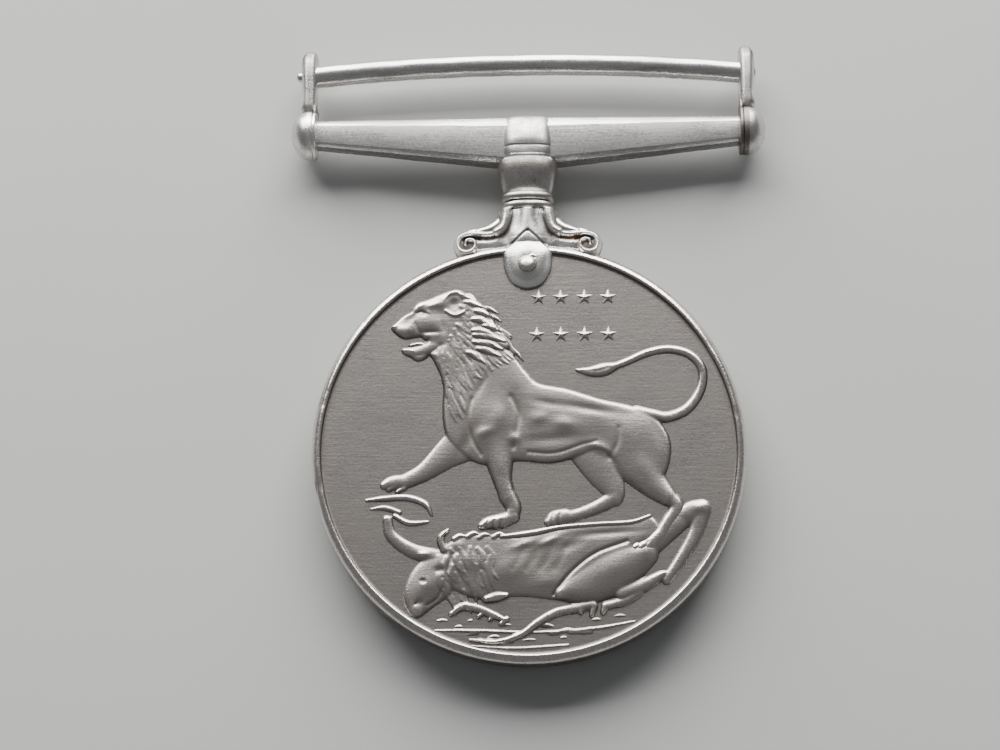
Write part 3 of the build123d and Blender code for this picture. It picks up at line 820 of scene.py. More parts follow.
def lion_mane(relief):
    """Overlapping locks that run back from the cheek and down the neck."""
    mane = [(-5.6, 13.3), (-4.3, 12.9), (-3.1, 11.6), (-2.3, 10.2), (-1.5, 8.8), (-2.8, 7.9),
            (-4.6, 6.9), (-5.6, 5.0), (-6.1, 3.0), (-6.9, 4.2), (-7.2, 6.0), (-7.9, 7.6),
            (-8.2, 8.3), (-7.3, 9.2), (-6.4, 10.6)]
    outline = curve(mane, closed=True)
    relief.mound(mane, 0.33, 1.5, lip=0.5, lip_edge=0.3, blend=0.04)
    face = Vector((-7.9, 11.0))

    def flow(root):
        if root.y < 8.2:
            return Vector((max(0.42, 0.3 + 0.22 * (root.x + 6)), -1.0))
        return (root - face).normalized() + Vector((0.3, -0.85))

    comb(relief, outline, flow, 0.52, 1.7, 0.22, 0.05, seed=11)
    base = relief.height.copy()
    locks = (
        (-5.5, 13.45, -4.25, 12.9), (-5.1, 12.75, -3.55, 12.2), (-4.4, 11.95, -2.9, 11.35),
        (-4.6, 11.2, -3.1, 10.7), (-3.7, 10.6, -2.2, 10.15), (-4.6, 10.2, -2.9, 9.8),
        (-4.5, 9.8, -1.8, 9.2), (-4.5, 9.2, -2.1, 8.5), (-4.2, 8.6, -2.3, 7.9),
        (-5.0, 8.3, -3.6, 7.3),
    )
    for x, y, tip_x, tip_y in locks:
        relief.strand([(x, y, 0.16), ((x + tip_x) / 2, (y + tip_y) / 2 + 0.12, 0.3),
                       (tip_x, tip_y, 0.03)], 0.11, base)


def beast_forms(relief):
    """A fallen horned beast on its back, under the lion's feet."""
    trunk = [(-7.0, -8.5), (-5.6, -7.4), (-3.4, -7.3), (-1.0, -7.5), (1.4, -7.1), (4.0, -6.6),
             (6.6, -6.45), (8.6, -6.25), (10.0, -5.85), (10.9, -7.2), (10.3, -9.2),
             (9.2, -11.0), (7.0, -12.6), (3.4, -12.9),
             (-0.6, -12.5), (-4.0, -12.7), (-6.3, -11.8), (-7.3, -10.2)]
    relief.mound(trunk, 0.25, 2.4, lip=0.4, lip_edge=0.3)
    relief.limb([(-5.6, -9.8, 1.5), (-7.4, -10.8, 1.9), (-8.7, -12.2, 1.5), (-9.1, -13.4, 0.8)],
                0.3, 0.04)
    relief.limb([(2.6, -12.2, 0.6), (4.6, -11.6, 1.6), (7.0, -10.4, 1.95), (9.4, -9.0, 1.2)],
                0.35, 0.03)
    relief.limb([(9.0, -9.0, 1.1), (11.4, -7.2, 0.8), (13.2, -5.6, 0.85), (14.2, -5.2, 0.75)],
                0.24, 0.04)
    relief.limb([(14.1, -5.4, 0.85), (13.7, -7.2, 0.62), (12.5, -9.3, 0.5), (11.2, -11.2, 0.42)],
                0.22, 0.04)
    relief.limb([(7.6, -12.3, 0.7), (9.2, -11.7, 0.6), (10.6, -10.9, 0.42), (11.0, -10.6, 0.2)],
                0.26, 0.02)
    relief.limb([(-7.6, -9.2, 0.7), (-9.6, -8.6, 0.6), (-11.2, -7.4, 0.5), (-11.6, -6.0, 0.42)],
                0.2, 0.03)
    relief.limb([(-13.4, -4.35, 0.1), (-11.8, -4.2, 0.26), (-10.0, -4.15, 0.3),
                 (-8.5, -4.7, 0.26), (-7.9, -5.7, 0.1)], 0.2, 0.02)
    relief.limb([(-13.0, -5.1, 0.08), (-11.8, -5.0, 0.26), (-10.6, -5.4, 0.22)], 0.16, 0.02)
    relief.limb([(-11.0, -5.7, 0.2), (-9.8, -6.3, 0.24), (-8.2, -6.2, 0.1)], 0.2, 0.02)
    relief.limb([(-6.9, -8.6, 0.35), (-7.2, -7.6, 0.28), (-6.6, -6.9, 0.12)], 0.3, 0.02)


def beast_details(relief):
    """Spines, ribs, creases, paws and the curled tail of the fallen beast."""
    for x, y in ((-5.7, -7.5), (-4.6, -7.3), (-3.7, -7.4), (-2.5, -7.35)):
        relief.limb([(x - 0.35, y - 0.2, 0.3), (x + 0.1, y + 0.08, 0.24), (x + 0.6, y + 0.02, 0.06)],
                    0.25, 0.03)
    relief.limb([(-2.2, -7.5, 0.2), (0.4, -7.2, 0.28), (2.6, -6.75, 0.22), (5.6, -6.5, 0.2),
                 (8.4, -6.35, 0.2), (9.9, -5.85, 0.16)], 0.29, 0.03)
    shapes = (
        (-8.3, -11.6, 0.9, 0.7, 40, 0.07), (-7.2, -10.3, 0.4, 0.3, 0, -0.1),
        (-8.9, -13.0, 0.35, 0.3, 0, -0.07), (-4.4, -9.6, 0.9, 0.8, 0, 0.06),
        (-2.2, -10.4, 1.3, 1.1, 10, 0.05), (0.4, -9.2, 1.0, 1.4, 30, -0.05),
        (1.6, -11.3, 1.2, 0.6, 10, 0.05), (7.0, -10.2, 1.6, 0.8, 26, 0.05),
        (9.3, -8.3, 0.8, 0.35, 20, -0.06), (-5.8, -8.2, 0.5, 0.4, 0, 0.06),
        (14.0, -5.2, 0.5, 0.4, 0, 0.06), (12.9, -6.4, 0.35, 0.6, 30, -0.05),
        (1.7, -7.9, 1.0, 0.28, 24, 0.07), (-0.4, -8.2, 1.1, 0.3, 20, 0.06),
        (-1.2, -10.0, 1.6, 1.0, 25, 0.05), (3.4, -8.3, 1.2, 0.5, 25, -0.06),
        (6.3, -7.3, 2.4, 0.3, 4, -0.06), (-8.6, -8.95, 0.4, 0.25, 0, 0.1),
    )
    for x, y, half_length, half_width, turn, amount in shapes:
        relief.swell(x, y, half_length, half_width, turn, amount)
    for index in range(4):
        x = -0.4 + 1.15 * index
        relief.crease([(x, -8.5), (x - 0.3, -9.3), (x - 0.9, -10.2)], 0.3, 0.022)
    relief.crease([(2.0, -12.4), (3.4, -10.6), (5.4, -9.0), (8.0, -8.0)], 0.15, 0.09)
    relief.crease([(-6.2, -9.0), (-6.6, -10.6), (-6.2, -12.0)], 0.16, 0.07)
    relief.swell(-8.6, -11.2, 0.19, 0.15, -15, -0.15)
    relief.swell(-8.6, -11.2, 0.09, 0.08, 0, 0.09)
    relief.swell(-9.15, -13.1, 0.13, 0.08, 60, -0.1)
    relief.crease([(-8.2, -13.2), (-7.4, -12.6), (-7.0, -11.8)], 0.14, 0.06)
    relief.limb([(-6.3, -13.9, 0.2), (-5.3, -13.3, 0.34), (-4.0, -13.5, 0.36),
                 (-2.9, -14.0, 0.34), (-1.9, -14.4, 0.16)], 0.22, 0.02)
    relief.limb([(-3.4, -12.7, 0.3), (-2.6, -12.5, 0.42), (-1.8, -12.4, 0.2)], 0.3, 0.02)
    for x, y in ((-4.1, -14.15), (-3.2, -14.4), (-2.3, -14.75)):
        relief.limb([(x + 0.5, y + 0.4, 0.26), (x, y, 0.16)], 0.2, 0.03)
    relief.limb([(5.2, -13.2, 0.4), (3.8, -13.5, 0.42), (2.3, -13.8, 0.38), (0.8, -14.6, 0.34),
                 (-0.6, -15.6, 0.28), (-2.6, -16.2, 0.2), (-4.8, -16.0, 0.08)], 0.22, 0.02)
    for x, reach in ((4.4, 0.5), (5.3, 0.75), (6.2, 0.55)):
        relief.limb([(x, -13.3, 0.34), (x - 0.2, -13.3 - reach, 0.22)], 0.22, 0.04)
    relief.limb([(6.2, -13.3, 0.34), (7.8, -12.9, 0.4), (9.0, -12.2, 0.36)], 0.22, 0.03)


def beast_hair(relief):
    """Long hair on the beast's neck."""
    neck = [(-7.6, -9.2), (-6.2, -7.9), (-4.2, -7.8), (-2.9, -8.6), (-3.4, -10.4), (-4.8, -12.2),
            (-6.6, -12.6), (-7.4, -11.2)]
    comb(relief, curve(neck, closed=True), lambda root: Vector((0.35, -1.0)), 0.7, 2.0, 0.28,
         0.05, seed=19)


def ground_forms(relief):
    """The stony ground line across the foot of the disc."""
    relief.limb([(-7.6, -15.25, 0.1), (-4.0, -15.3, 0.16), (0.5, -15.45, 0.14),
                 (5.0, -15.2, 0.18), (8.6, -14.6, 0.1)], 0.1, 0.02)
    relief.limb([(-4.6, -16.55, 0.1), (-1.0, -16.75, 0.16), (3.2, -16.5, 0.12)], 0.09, 0.02)
    dice = random.Random(23)
    for _ in range(34):
        x = dice.uniform(-7.4, 8.6)
        y = -15.9 + dice.uniform(-0.5, 1.2) + 0.012 * x * x
        if math.hypot(x, y) > 16.6:
            continue
        half = dice.uniform(0.2, 0.6)
        relief.limb([(x - half, y - 0.04, 0.06), (x, y + 0.03, 0.14), (x + half, y, 0.05)],
                    dice.uniform(0.05, 0.11), 0.01)


class MEDAL_OT_lion(bpy.types.Operator):
    """Model the standing lion in low relief on the front field"""

    bl_idname = "medal.lion"
    bl_label = "Lion relief"

    def execute(self, context):
        sizes = context.scene.medal_disc
        relief = Relief((-12.6, -9.2), (15.1, 14.1), sizes.relief_cell / MM)
        lion_far_legs(relief)
        lion_tail(relief)
        lion_body(relief)
        lion_head(relief)
        relief.soften(2)
        lion_mane(relief)
        relief.soften(1)
        bm = relief.skin(RIM_FACE - sizes.rim_step / MM, -0.055)
        metal = material("worn_struck_metal", struck_metal, context.scene.medal_finish)
        finish_piece(bm, "lion_relief", metal, recalculate=False)
        return {"FINISHED"}


class MEDAL_OT_beast(bpy.types.Operator):
    """Model the fallen beast and the ground under the lion"""

    bl_idname = "medal.beast"
    bl_label = "Fallen beast relief"

    def execute(self, context):
        sizes = context.scene.medal_disc
        relief = Relief((-13.8, -17.1), (15.3, -3.6), sizes.relief_cell / MM)
        ground_forms(relief)
        beast_forms(relief)
        relief.soften(2)
        beast_details(relief)
        beast_hair(relief)
        relief.soften(1)
        bm = relief.skin(RIM_FACE - sizes.rim_step / MM, -0.055)
        metal = material("worn_struck_metal", struck_metal, context.scene.medal_finish)
        finish_piece(bm, "fallen_beast_relief", metal, recalculate=False)
        return {"FINISHED"}


def add_star(bm, x, y, level, radius, rise, points=5):
    """A faceted star that stands on a level, its centre highest."""
    made = bmesh.ops.create_cone(
        bm, cap_ends=False, segments=2 * points, radius1=radius, radius2=0, depth=rise
    )
    verts = made["verts"]
    foot = [vert for vert in verts if vert.co.z < 0]
    foot.sort(key=lambda vert: math.atan2(vert.co.y, vert.co.x))
    lowest = min(foot, key=lambda vert: vert.co.y)
    for index, vert in enumerate(foot):
        if (index - foot.index(lowest)) % 2 == 0:
            vert.co.x *= 0.42
            vert.co.y *= 0.42
        vert.co.z -= 0.04
    bmesh.ops.translate(bm, verts=verts, vec=(x, y, level + rise / 2))


class MEDAL_OT_stars(bpy.types.Operator):
    """Model two rows of four small stars above the lion's back"""

    bl_idname = "medal.stars"
    bl_label = "Stars"

    def execute(self, context):
        sizes = context.scene.medal_disc
        level = RIM_FACE - sizes.rim_step / MM
        bm = bmesh.new()
        for y in (13.15, 9.85):
            for x in (0.75, 2.75, 4.75, 6.75):
                if y > 12 and x < 1:
                    x += 0.15
                add_star(bm, x, y, level, sizes.star_radius / MM, 0.2)
        bmesh.ops.remove_doubles(bm, verts=bm.verts, dist=1e-4)
        bmesh.ops.bevel(
            bm, geom=bm.edges[:], offset=0.03, segments=2, profile=0.5, affect="EDGES",
            material=-1, clamp_overlap=True,
        )
        layer = bm.verts.layers.float.new("wear")
        for vert in bm.verts:
            vert[layer] = min(1, 0.35 + 3.2 * (vert.co.z - level))
        metal = material("worn_struck_metal", struck_metal, context.scene.medal_finish)
        finish_piece(bm, "small_stars", metal)
        return {"FINISHED"}


# --------------------------------------------------------------------------- back relief


def add_leaf(bm, layer, root, angle, length, half_width, level):
    """A pointed leaf with a sunk midrib, crowned and dipping under the field at its edge."""
    made = bmesh.ops.create_grid(bm, x_segments=10, y_segments=6, size=1)
    for vert in made["verts"]:
        share = (vert.co.x + 1) / 2
        side = vert.co.y
        width = half_width * (math.sin(math.pi * share**0.8) ** 0.75 if 0 < share < 1 else 0)
        crown = 0.26 * (1 - side * side) * math.sin(math.pi * min(1, share + 0.12)) ** 0.5
        rib = 0.07 * math.exp(-((side / 0.16) ** 2))
        vert.co = (share * length, side * width, crown - rib - 0.03)
        vert[layer] = min(1, max(0, 0.3 + 2.4 * (crown - rib)))
    bmesh.ops.remove_doubles(bm, verts=made["verts"], dist=1e-4)


class MEDAL_OT_wreath(bpy.types.Operator):
    """Model a plain laurel wreath and a star on the back field"""

    bl_idname = "medal.wreath"
    bl_label = "Back wreath"

    def execute(self, context):
        sizes = context.scene.medal_disc
        radius = sizes.wreath_radius / MM
        level = RIM_FACE - sizes.rim_step / MM
        whole = bmesh.new()
        layer = whole.verts.layers.float.new("wear")
        count = sizes.wreath_leaves
        for side in (1, -1):
            for index in range(count):
                share = index / (count - 1)
                around = math.radians(-84 + 150 * share)
                stem = Vector((radius * math.cos(around) * side, radius * math.sin(around), 0))
                along_stem = math.atan2(math.cos(around), -math.sin(around) * side)
                for lean, size in ((0.62, 1.0), (-0.62, 0.95), (0.0, 0.9)):
                    before = set(whole.verts)
                    add_leaf(whole, layer, stem, 0, 2.9 * size * (1 - 0.25 * share),
                             0.62 * (1 - 0.2 * share), level)
                    made = [vert for vert in whole.verts if vert not in before]
                    turn = Matrix.Rotation(along_stem + lean, 3, "Z")
                    bmesh.ops.rotate(whole, verts=made, cent=(0, 0, 0), matrix=turn)
                    bmesh.ops.translate(whole, verts=made, vec=stem + Vector((0, 0, level)))
            stem_line = arc(0, 0, radius, -86, 66, 40)
            ring = [whole.verts.new((x * side, y, level - 0.03)) for x, y in stem_line]
            for vert in ring:
                vert[layer] = 0.5
            spans = [whole.edges.new(pair) for pair in zip(ring, ring[1:])]
            grown = bmesh.ops.extrude_edge_only(whole, edges=spans)
            crest = [item for item in grown["geom"] if isinstance(item, bmesh.types.BMVert)]
            bmesh.ops.scale(whole, verts=crest, vec=(0.992, 0.992, 1))
            bmesh.ops.translate(whole, verts=crest, vec=(0, 0, 0.14))
            crest_edges = [item for item in grown["geom"] if isinstance(item, bmesh.types.BMEdge)]
            grown = bmesh.ops.extrude_edge_only(whole, edges=crest_edges)
            inner = [item for item in grown["geom"] if isinstance(item, bmesh.types.BMVert)]
            bmesh.ops.scale(whole, verts=inner, vec=(0.992, 0.992, 1))
            bmesh.ops.translate(whole, verts=inner, vec=(0, 0, -0.14))
        add_star(whole, 0, 0, level, 3.4, 0.3)
        for index in range(3):
            add_star(whole, 2.0 * (index - 1), -6.6 + 0.5 * (index % 2), level, 0.8, 0.2)
        bmesh.ops.remove_doubles(whole, verts=whole.verts, dist=1e-4)
        for vert in whole.verts:
            if vert[layer] == 0:
                vert[layer] = min(1, 0.35 + 2.2 * (vert.co.z - level))
        bmesh.ops.recalc_face_normals(whole, faces=whole.faces)
        up = [face for face in whole.faces if face.normal.z < 0]
        bmesh.ops.reverse_faces(whole, faces=up)
        bmesh.ops.rotate(whole, verts=whole.verts, cent=(0, 0, 0),
                         matrix=Matrix.Rotation(math.pi, 3, "Y"))
        metal = material("worn_struck_metal", struck_metal, context.scene.medal_finish)
        finish_piece(whole, "back_wreath", metal, recalculate=False)
        return {"FINISHED"}


# ------------------------------------------------------------------------ claw and pin


def claw_forms(claw, toe_level, toe_crown, crease_depth):
    """Heights of the claw's front half above its middle plane."""
    for side in (1, -1):
        web = [(0, 21.15), (2.3, 21.15), (2.45, 20.8), (2.85, 20.25), (3.8, 19.88),
               (5.2, 19.5), (6.0, 19.1), (6.36, 18.4), (6.15, 17.6), (5.3, 17.1),
               (4.6, 17.2), (4.0, 17.4), (3.0, 17.5), (2.2, 17.4), (2.1, 17.2), (0, 17.0)]
        claw.mound([(side * x, y) for x, y in web], 1.02, 0.9, lip=0.6, lip_edge=0.3)
        claw.limb([(side * 1.75, 21.5, 0.62), (side * 1.8, 20.5, 0.66), (side * 2.1, 19.55, 0.56),
                   (side * 2.7, 19.05, 0.44), (side * 3.5, 18.9, 0.36), (side * 4.5, 18.94, 0.32),
                   (side * 5.3, 18.9, 0.32), (side * 5.83, 18.55, 0.32),
                   (side * 5.98, 18.0, 0.32), (side * 5.75, 17.48, 0.32),
                   (side * 5.2, 17.3, 0.32), (side * 4.66, 17.5, 0.31),
                   (side * 4.45, 18.0, 0.29), (side * 4.72, 18.4, 0.27),
                   (side * 5.15, 18.4, 0.25), (side * 5.3, 18.05, 0.22)], 1.36, 0.08)
        claw.limb([(side * 1.75, 21.5, 0.74), (side * 1.8, 20.5, 0.78), (side * 2.1, 19.5, 0.62),
                   (side * 2.7, 19.05, 0.46)], 1.62, 0.16)
        claw.limb([(side * 1.9, 21.2, 0.5), (side * 2.2, 20.3, 0.62), (side * 3.0, 19.6, 0.6),
                   (side * 4.2, 19.2, 0.45)], 1.14, 0.1)
        claw.crease([(side * 4.1, 18.62), (side * 4.9, 18.68), (side * 5.5, 18.45)], 0.12, 0.16)
        claw.crease([(side * 2.9, 18.6), (side * 3.4, 18.5), (side * 4.1, 18.5)], 0.2, 0.1)
    claw.limb([(0, 21.6, 2.3), (0, 20.3, 2.4), (0, 19.2, 2.7), (0, 18.2, 2.7)], 1.46, 0.16)
    claw.limb([(0, 21.6, 1.0), (0, 20.5, 1.05), (0, 19.5, 1.45), (0, 18.5, 2.0)], 1.74, 0.22)
    toe = [(0, 19.2), (1.0, 18.4), (2.02, 17.5), (2.1, 16.5), (1.9, 15.4), (1.2, 14.35),
           (0, 13.95), (-1.2, 14.35), (-1.9, 15.4), (-2.1, 16.5), (-2.02, 17.5), (-1.0, 18.4)]
    outline = curve(toe, closed=True)
    window = claw.window(outline, 0.3)
    depth = depth_inside(outline, claw.x[window], claw.y[window])
    middle = blurred(np.maximum(depth, 0), 160)
    swelling = np.sin(math.pi / 2 * np.clip(middle / 1.7, 0, 1))
    dome = toe_level + toe_crown * (0.3 * round_over(depth / 0.4) + 0.7 * swelling)
    claw.join(window, np.where(depth > 0, dome, depth * 12 + toe_level), 0)
    for side in (1, -1):
        claw.crease([(0, 19.1), (side * 0.5, 18.72), (side * 1.2, 18.1), (side * 2.15, 17.3)],
                    0.075, crease_depth)
    claw.swell(0, 19.1, 0.1, 0.1, 0, -0.12)
    claw.swell(0.42, 16.5, 0.2, 0.09, 15, -0.12)
    claw.crease([(0.2, 16.62), (0.45, 16.72), (0.68, 16.6)], 0.06, -0.05)


class MEDAL_OT_claw(bpy.types.Operator):
    """Model the scrolled claw, the same on both faces of the disc"""

    bl_idname = "medal.claw"
    bl_label = "Claw"

    def execute(self, context):
        sizes = context.scene.medal_claw
        disc = context.scene.medal_disc
        field = RIM_FACE - disc.rim_step / MM
        low = (CLAW[0].x - 0.2, CLAW[0].y - 0.2)
        high = (CLAW[1].x + 0.2, CLAW[1].y + 0.2)
        claw = Relief(low, high, sizes.claw_cell / MM, ground=-0.9)
        claw_forms(claw, field - 0.02, sizes.toe_crown / MM, sizes.crease_depth / MM)
        claw.height = np.where(claw.y > CLAW[1].y, -0.9, claw.height)
        claw.soften(1)
        bm = claw.skin(0, -0.85)
        bmesh.ops.bisect_plane(
            bm, geom=bm.verts[:] + bm.edges[:] + bm.faces[:], dist=1e-5,
            plane_co=(0, 0, 0), plane_no=(0, 0, 1), clear_inner=True,
        )
        seam = [vert for vert in bm.verts if vert.is_boundary]
        for _ in range(4):
            bmesh.ops.smooth_vert(bm, verts=seam, factor=0.5, use_axis_x=True, use_axis_y=True)
        bmesh.ops.mirror(
            bm, geom=bm.verts[:] + bm.edges[:] + bm.faces[:], axis="Z", merge_dist=1e-5
        )
        bmesh.ops.remove_doubles(bm, verts=bm.verts, dist=1e-5)
        roughen(bm, 0.9, 0.02, 2)
        metal = material("worn_cast_metal", cast_metal, context.scene.medal_finish)
        finish_piece(bm, "scrolled_claw", metal, "claw")
        return {"FINISHED"}


class MEDAL_OT_pin(bpy.types.Operator):
    """Model the pin with a hammered head on each toe"""

    bl_idname = "medal.pin"
    bl_label = "Claw pin"

    def execute(self, context):
        y = (PIN[0].y + PIN[1].y) / 2
        radius = (PIN[1].x - PIN[0].x) / 2
        top = PIN[1].z
        head = 0.5
        front = [(0, top), (0.2, top - 0.012), (0.38, top - 0.06), (0.55, top - 0.16),
                 (0.68, top - 0.3), (radius, top - head), (radius, top - head - 0.25)]
        whole = front + [(r, -z) for r, z in reversed(front)]
        bm = bmesh.new()
        turn_profile(bm, [(r, y, z) for r, z in whole], (0, 0, 1), (0, y, 0), 48)
        bmesh.ops.subdivide_edges(bm, edges=bm.edges, cuts=1, use_grid_fill=True)
        for vert in bm.verts:
            vert.co.x *= 1.06
            vert.co.y -= 0.4 * max(0, abs(vert.co.z) - top + head)
            vert.co.z -= math.copysign(0.03 * (1 + noise.noise(vert.co * 2.4)), vert.co.z)
        mark_wear(bm, 8, 5, 0.58)
        metal = material("worn_pin_metal", pin_metal, context.scene.medal_finish)
        finish_piece(bm, "hammered_pin", metal, "claw_pin")
        return {"FINISHED"}


# ------------------------------------------------------------------------- suspender


class MEDAL_OT_collars(bpy.types.Operator):
    """Model the two bead rings between the claw and the boss"""

    bl_idname = "medal.collars"
    bl_label = "Collars"

    def execute(self, context):
        metal = material("worn_cast_metal", cast_metal, context.scene.medal_finish)
        for name, span in (("lower_collar", LOWER_COLLAR), ("upper_collar", UPPER_COLLAR)):
            middle = (span[0].y + span[1].y) / 2
            half = 0.43 * (span[1].y - span[0].y)
            width = span[1].x
            depth = span[1].z
            bead = min(half, 0.4)
            rings = []
            for index in range(13):
                angle = math.pi * (index / 12 - 0.5)
                inset = bead * (1 - math.cos(angle))
                rings.append((0, middle + half * math.sin(angle), width - inset, depth - inset, 2.7))
            bm = bmesh.new()
            stack_rings(bm, rings, 120)
            roughen(bm, 0.8, 0.018, 5)
            mark_wear(bm, 6, 7, 0.6)
            finish_piece(bm, name + "_bead", metal, name)
        return {"FINISHED"}


def boss_rings(sleeve_width, sleeve_height, groove_depth):
    """Rings of the boss from its foot to its top: barrel, band, sleeve with a groove, round top."""
    foot, top = BOSS[0].y, BOSS[1].y
    width, depth = BOSS[1].x, BOSS[1].z
    shoulder = top - sleeve_height
    sleeve = sleeve_width / 2
    sleeve_depth = 1.75
    barrel = ((0.0, 0.76), (0.12, 0.79), (0.45, 0.84), (0.9, 0.895), (1.4, 0.945), (1.9, 0.98),
              (2.3, 0.99), (2.65, 0.985), (2.9, 0.965), (3.06, 0.935), (3.16, 0.895))
    rings = [(0, foot + rise, width * share, depth * (2.2 * share - 1.2), 2.6)
             for rise, share in barrel]
    rings.append((0, shoulder - 0.08, sleeve + 0.02, sleeve_depth + 0.02, 3.0))
    rings.append((0, shoulder, sleeve - 0.03, sleeve_depth - 0.03, 3.1))
    groove = shoulder + 0.75
    for rise, inset in ((0.1, 0.0), (0.68, 0.0), (0.75, 0.02), (0.78, 1.0), (0.86, 1.0),
                        (0.89, 0.02), (0.96, 0.0)):
        cut = groove_depth * inset
        rings.append((0, shoulder + rise, sleeve - cut, sleeve_depth - cut, 3.2))
    round_top = top - groove - 0.35
    for index in range(11):
        angle = math.radians(90 * index / 10)
        inset = 1 - math.cos(angle)
        rings.append((0, top - round_top * (1 - math.sin(angle)), sleeve + 0.03 - 0.5 * inset,
                      sleeve_depth + 0.05 - 1.15 * inset, 3.0))
    rings.append((0, top, sleeve * 0.4, sleeve_depth * 0.2, 2.6))
    return rings


class MEDAL_OT_boss(bpy.types.Operator):
    """Model the barrel and the grooved sleeve round the bar, and give the post inside the pin metal
    """

    bl_idname = "medal.boss"
    bl_label = "Boss"

    def execute(self, context):
        sizes = context.scene.medal_suspender
        bm = bmesh.new()
        stack_rings(bm, boss_rings(sizes.sleeve_width / MM, sizes.sleeve_height / MM,
                                   sizes.groove_depth / MM), 160)
        roughen(bm, 1.1, 0.03, 9)
        mark_wear(bm, 5, 6, 0.62)
        metal = material("worn_cast_metal", cast_metal, context.scene.medal_finish)
        finish_piece(bm, "sleeved_boss", metal, "suspender_boss")
        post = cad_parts["suspender_post"]
        post.data.materials.clear()
        post.data.materials.append(material("worn_pin_metal", pin_metal, context.scene.medal_finish))
        return {"FINISHED"}


def bar_ring(x, height, depth, bevels):
    """Corners of the bar's eight-sided section at x."""
    top = BOSS[1].y - 0.2
    top_bevel, foot_bevel, depth_bevel = bevels
    half = depth / 2
    front = [(top, half - depth_bevel), (top - top_bevel, half),
             (top - height + foot_bevel, half), (top - height, half - depth_bevel)]
    back = [(y, -z) for y, z in reversed(front)]
    return [(x, y, z) for y, z in front + back]


class MEDAL_OT_bar(bpy.types.Operator):
    """Model the tapered bar with bevelled edges"""

    bl_idname = "medal.bar"
    bl_label = "Bar"

    def execute(self, context):
        sizes = context.scene.medal_suspender
        bm = bmesh.new()
        end = bar_ring(-LUG[0].x, 2.35, 1.8, (0.5, 0.22, 0.34))
        middle = bar_ring(0, 4.45, 2.5, (0.9, 0.36, 0.5))
        far_end = bar_ring(LUG[0].x, 2.35, 1.8, (0.5, 0.22, 0.34))
        face = bm.faces.new([bm.verts.new(corner) for corner in end])
        for target in (middle, far_end):
            grown = bmesh.ops.extrude_face_region(bm, geom=[face])
            verts = [item for item in grown["geom"] if isinstance(item, bmesh.types.BMVert)]
            known = {tuple(round(c, 5) for c in corner): index for index, corner in enumerate(end)}
            for vert in verts:
                vert.co = target[known[tuple(round(c, 5) for c in vert.co)]]
            if target is far_end:
                bmesh.ops.delete(bm, geom=[face], context="FACES_ONLY")
            end = target
            face = [item for item in grown["geom"] if isinstance(item, bmesh.types.BMFace)][0]
        long_edges = [e for e in bm.edges if abs(e.verts[0].co.x - e.verts[1].co.x) > 5]
        bmesh.ops.bevel(
            bm, geom=long_edges, offset=sizes.bar_edge / MM, segments=3, profile=0.5,
            affect="EDGES", material=-1,
        )
        end_loop = LUG[0].x - 0.03
        for x in (-end_loop, *np.arange(-17.4, 17.5, 0.6), end_loop):
            bmesh.ops.bisect_plane(
                bm, geom=bm.verts[:] + bm.edges[:] + bm.faces[:], dist=1e-4,
                plane_co=(x, 0, 0), plane_no=(1, 0, 0),
            )
        roughen(bm, 2.2, 0.025, 13)
        mark_wear(bm, 1, 5, 0.5)
        metal = material("worn_drawn_metal", drawn_metal, context.scene.medal_finish)
        finish_piece(bm, "tapered_bar", metal, "suspender_bar")
        return {"FINISHED"}


class MEDAL_OT_rod(bpy.types.Operator):
    """Model the bowed round rod with its riveted ends"""

    bl_idname = "medal.rod"
    bl_label = "Ribbon rod"

    def execute(self, context):
        radius = context.scene.medal_suspender.rod_diameter / MM / 2
        reach = LUG[0].x
        end_y = ROD[0].y + radius
        bow = ROD[1].y - radius - end_y
        bend = (reach**2 + bow**2) / (2 * bow)
        centre_y = end_y + bow - bend
        half_turn = math.asin((reach + 0.3) / bend)
        bm = bmesh.new()
        made = bmesh.ops.create_circle(bm, cap_ends=True, segments=40, radius=radius)
        ring = made["verts"]
        bmesh.ops.rotate(bm, verts=ring, cent=(0, 0, 0), matrix=Matrix.Rotation(math.pi / 2, 3, "Y"))
        bmesh.ops.translate(bm, verts=ring, vec=(0, centre_y + bend, 0))
        bmesh.ops.rotate(bm, verts=ring, cent=(0, centre_y, 0),
                         matrix=Matrix.Rotation(half_turn, 3, "Z"))
        bmesh.ops.spin(
            bm, geom=bm.faces[:] + bm.edges[:] + bm.verts[:], cent=(0, centre_y, 0),
            axis=(0, 0, -1), angle=2 * half_turn, steps=220, use_merge=False,
        )
        roughen(bm, 1.6, 0.03, 17)
        dice = random.Random(31)
        nicks = [(dice.uniform(9.5, 16.5), dice.uniform(0.04, 0.09), dice.uniform(0.03, 0.07))
                 for _ in range(15)]
        for vert in bm.verts:
            under = max(0.0, -(vert.co.y - centre_y - math.sqrt(bend**2 - vert.co.x**2)) / radius)
            for x, half_width, depth in nicks:
                cut = depth * math.exp(-(((vert.co.x - x) / half_width) ** 2)) * under
                vert.co.y += cut
        for side, proud in ((-1, ROD[0].x), (1, ROD[1].x)):
            start = side * (LUG[1].x - 0.2)
            length = abs(proud) - abs(start)
            cap = [(start, 0.42), (start + side * length * 0.6, 0.42),
                   (start + side * length * 0.85, 0.36), (start + side * length * 0.97, 0.2),
                   (proud, 0.0)]
            turn_profile(bm, [(x, end_y + r, 0) for x, r in cap], (1, 0, 0), (0, end_y, 0), 32)
        mark_wear(bm, 6, 4, 0.56)
        metal = material("worn_drawn_metal", drawn_metal, context.scene.medal_finish)
        finish_piece(bm, "bowed_rod", metal, "top_rod")
        return {"FINISHED"}


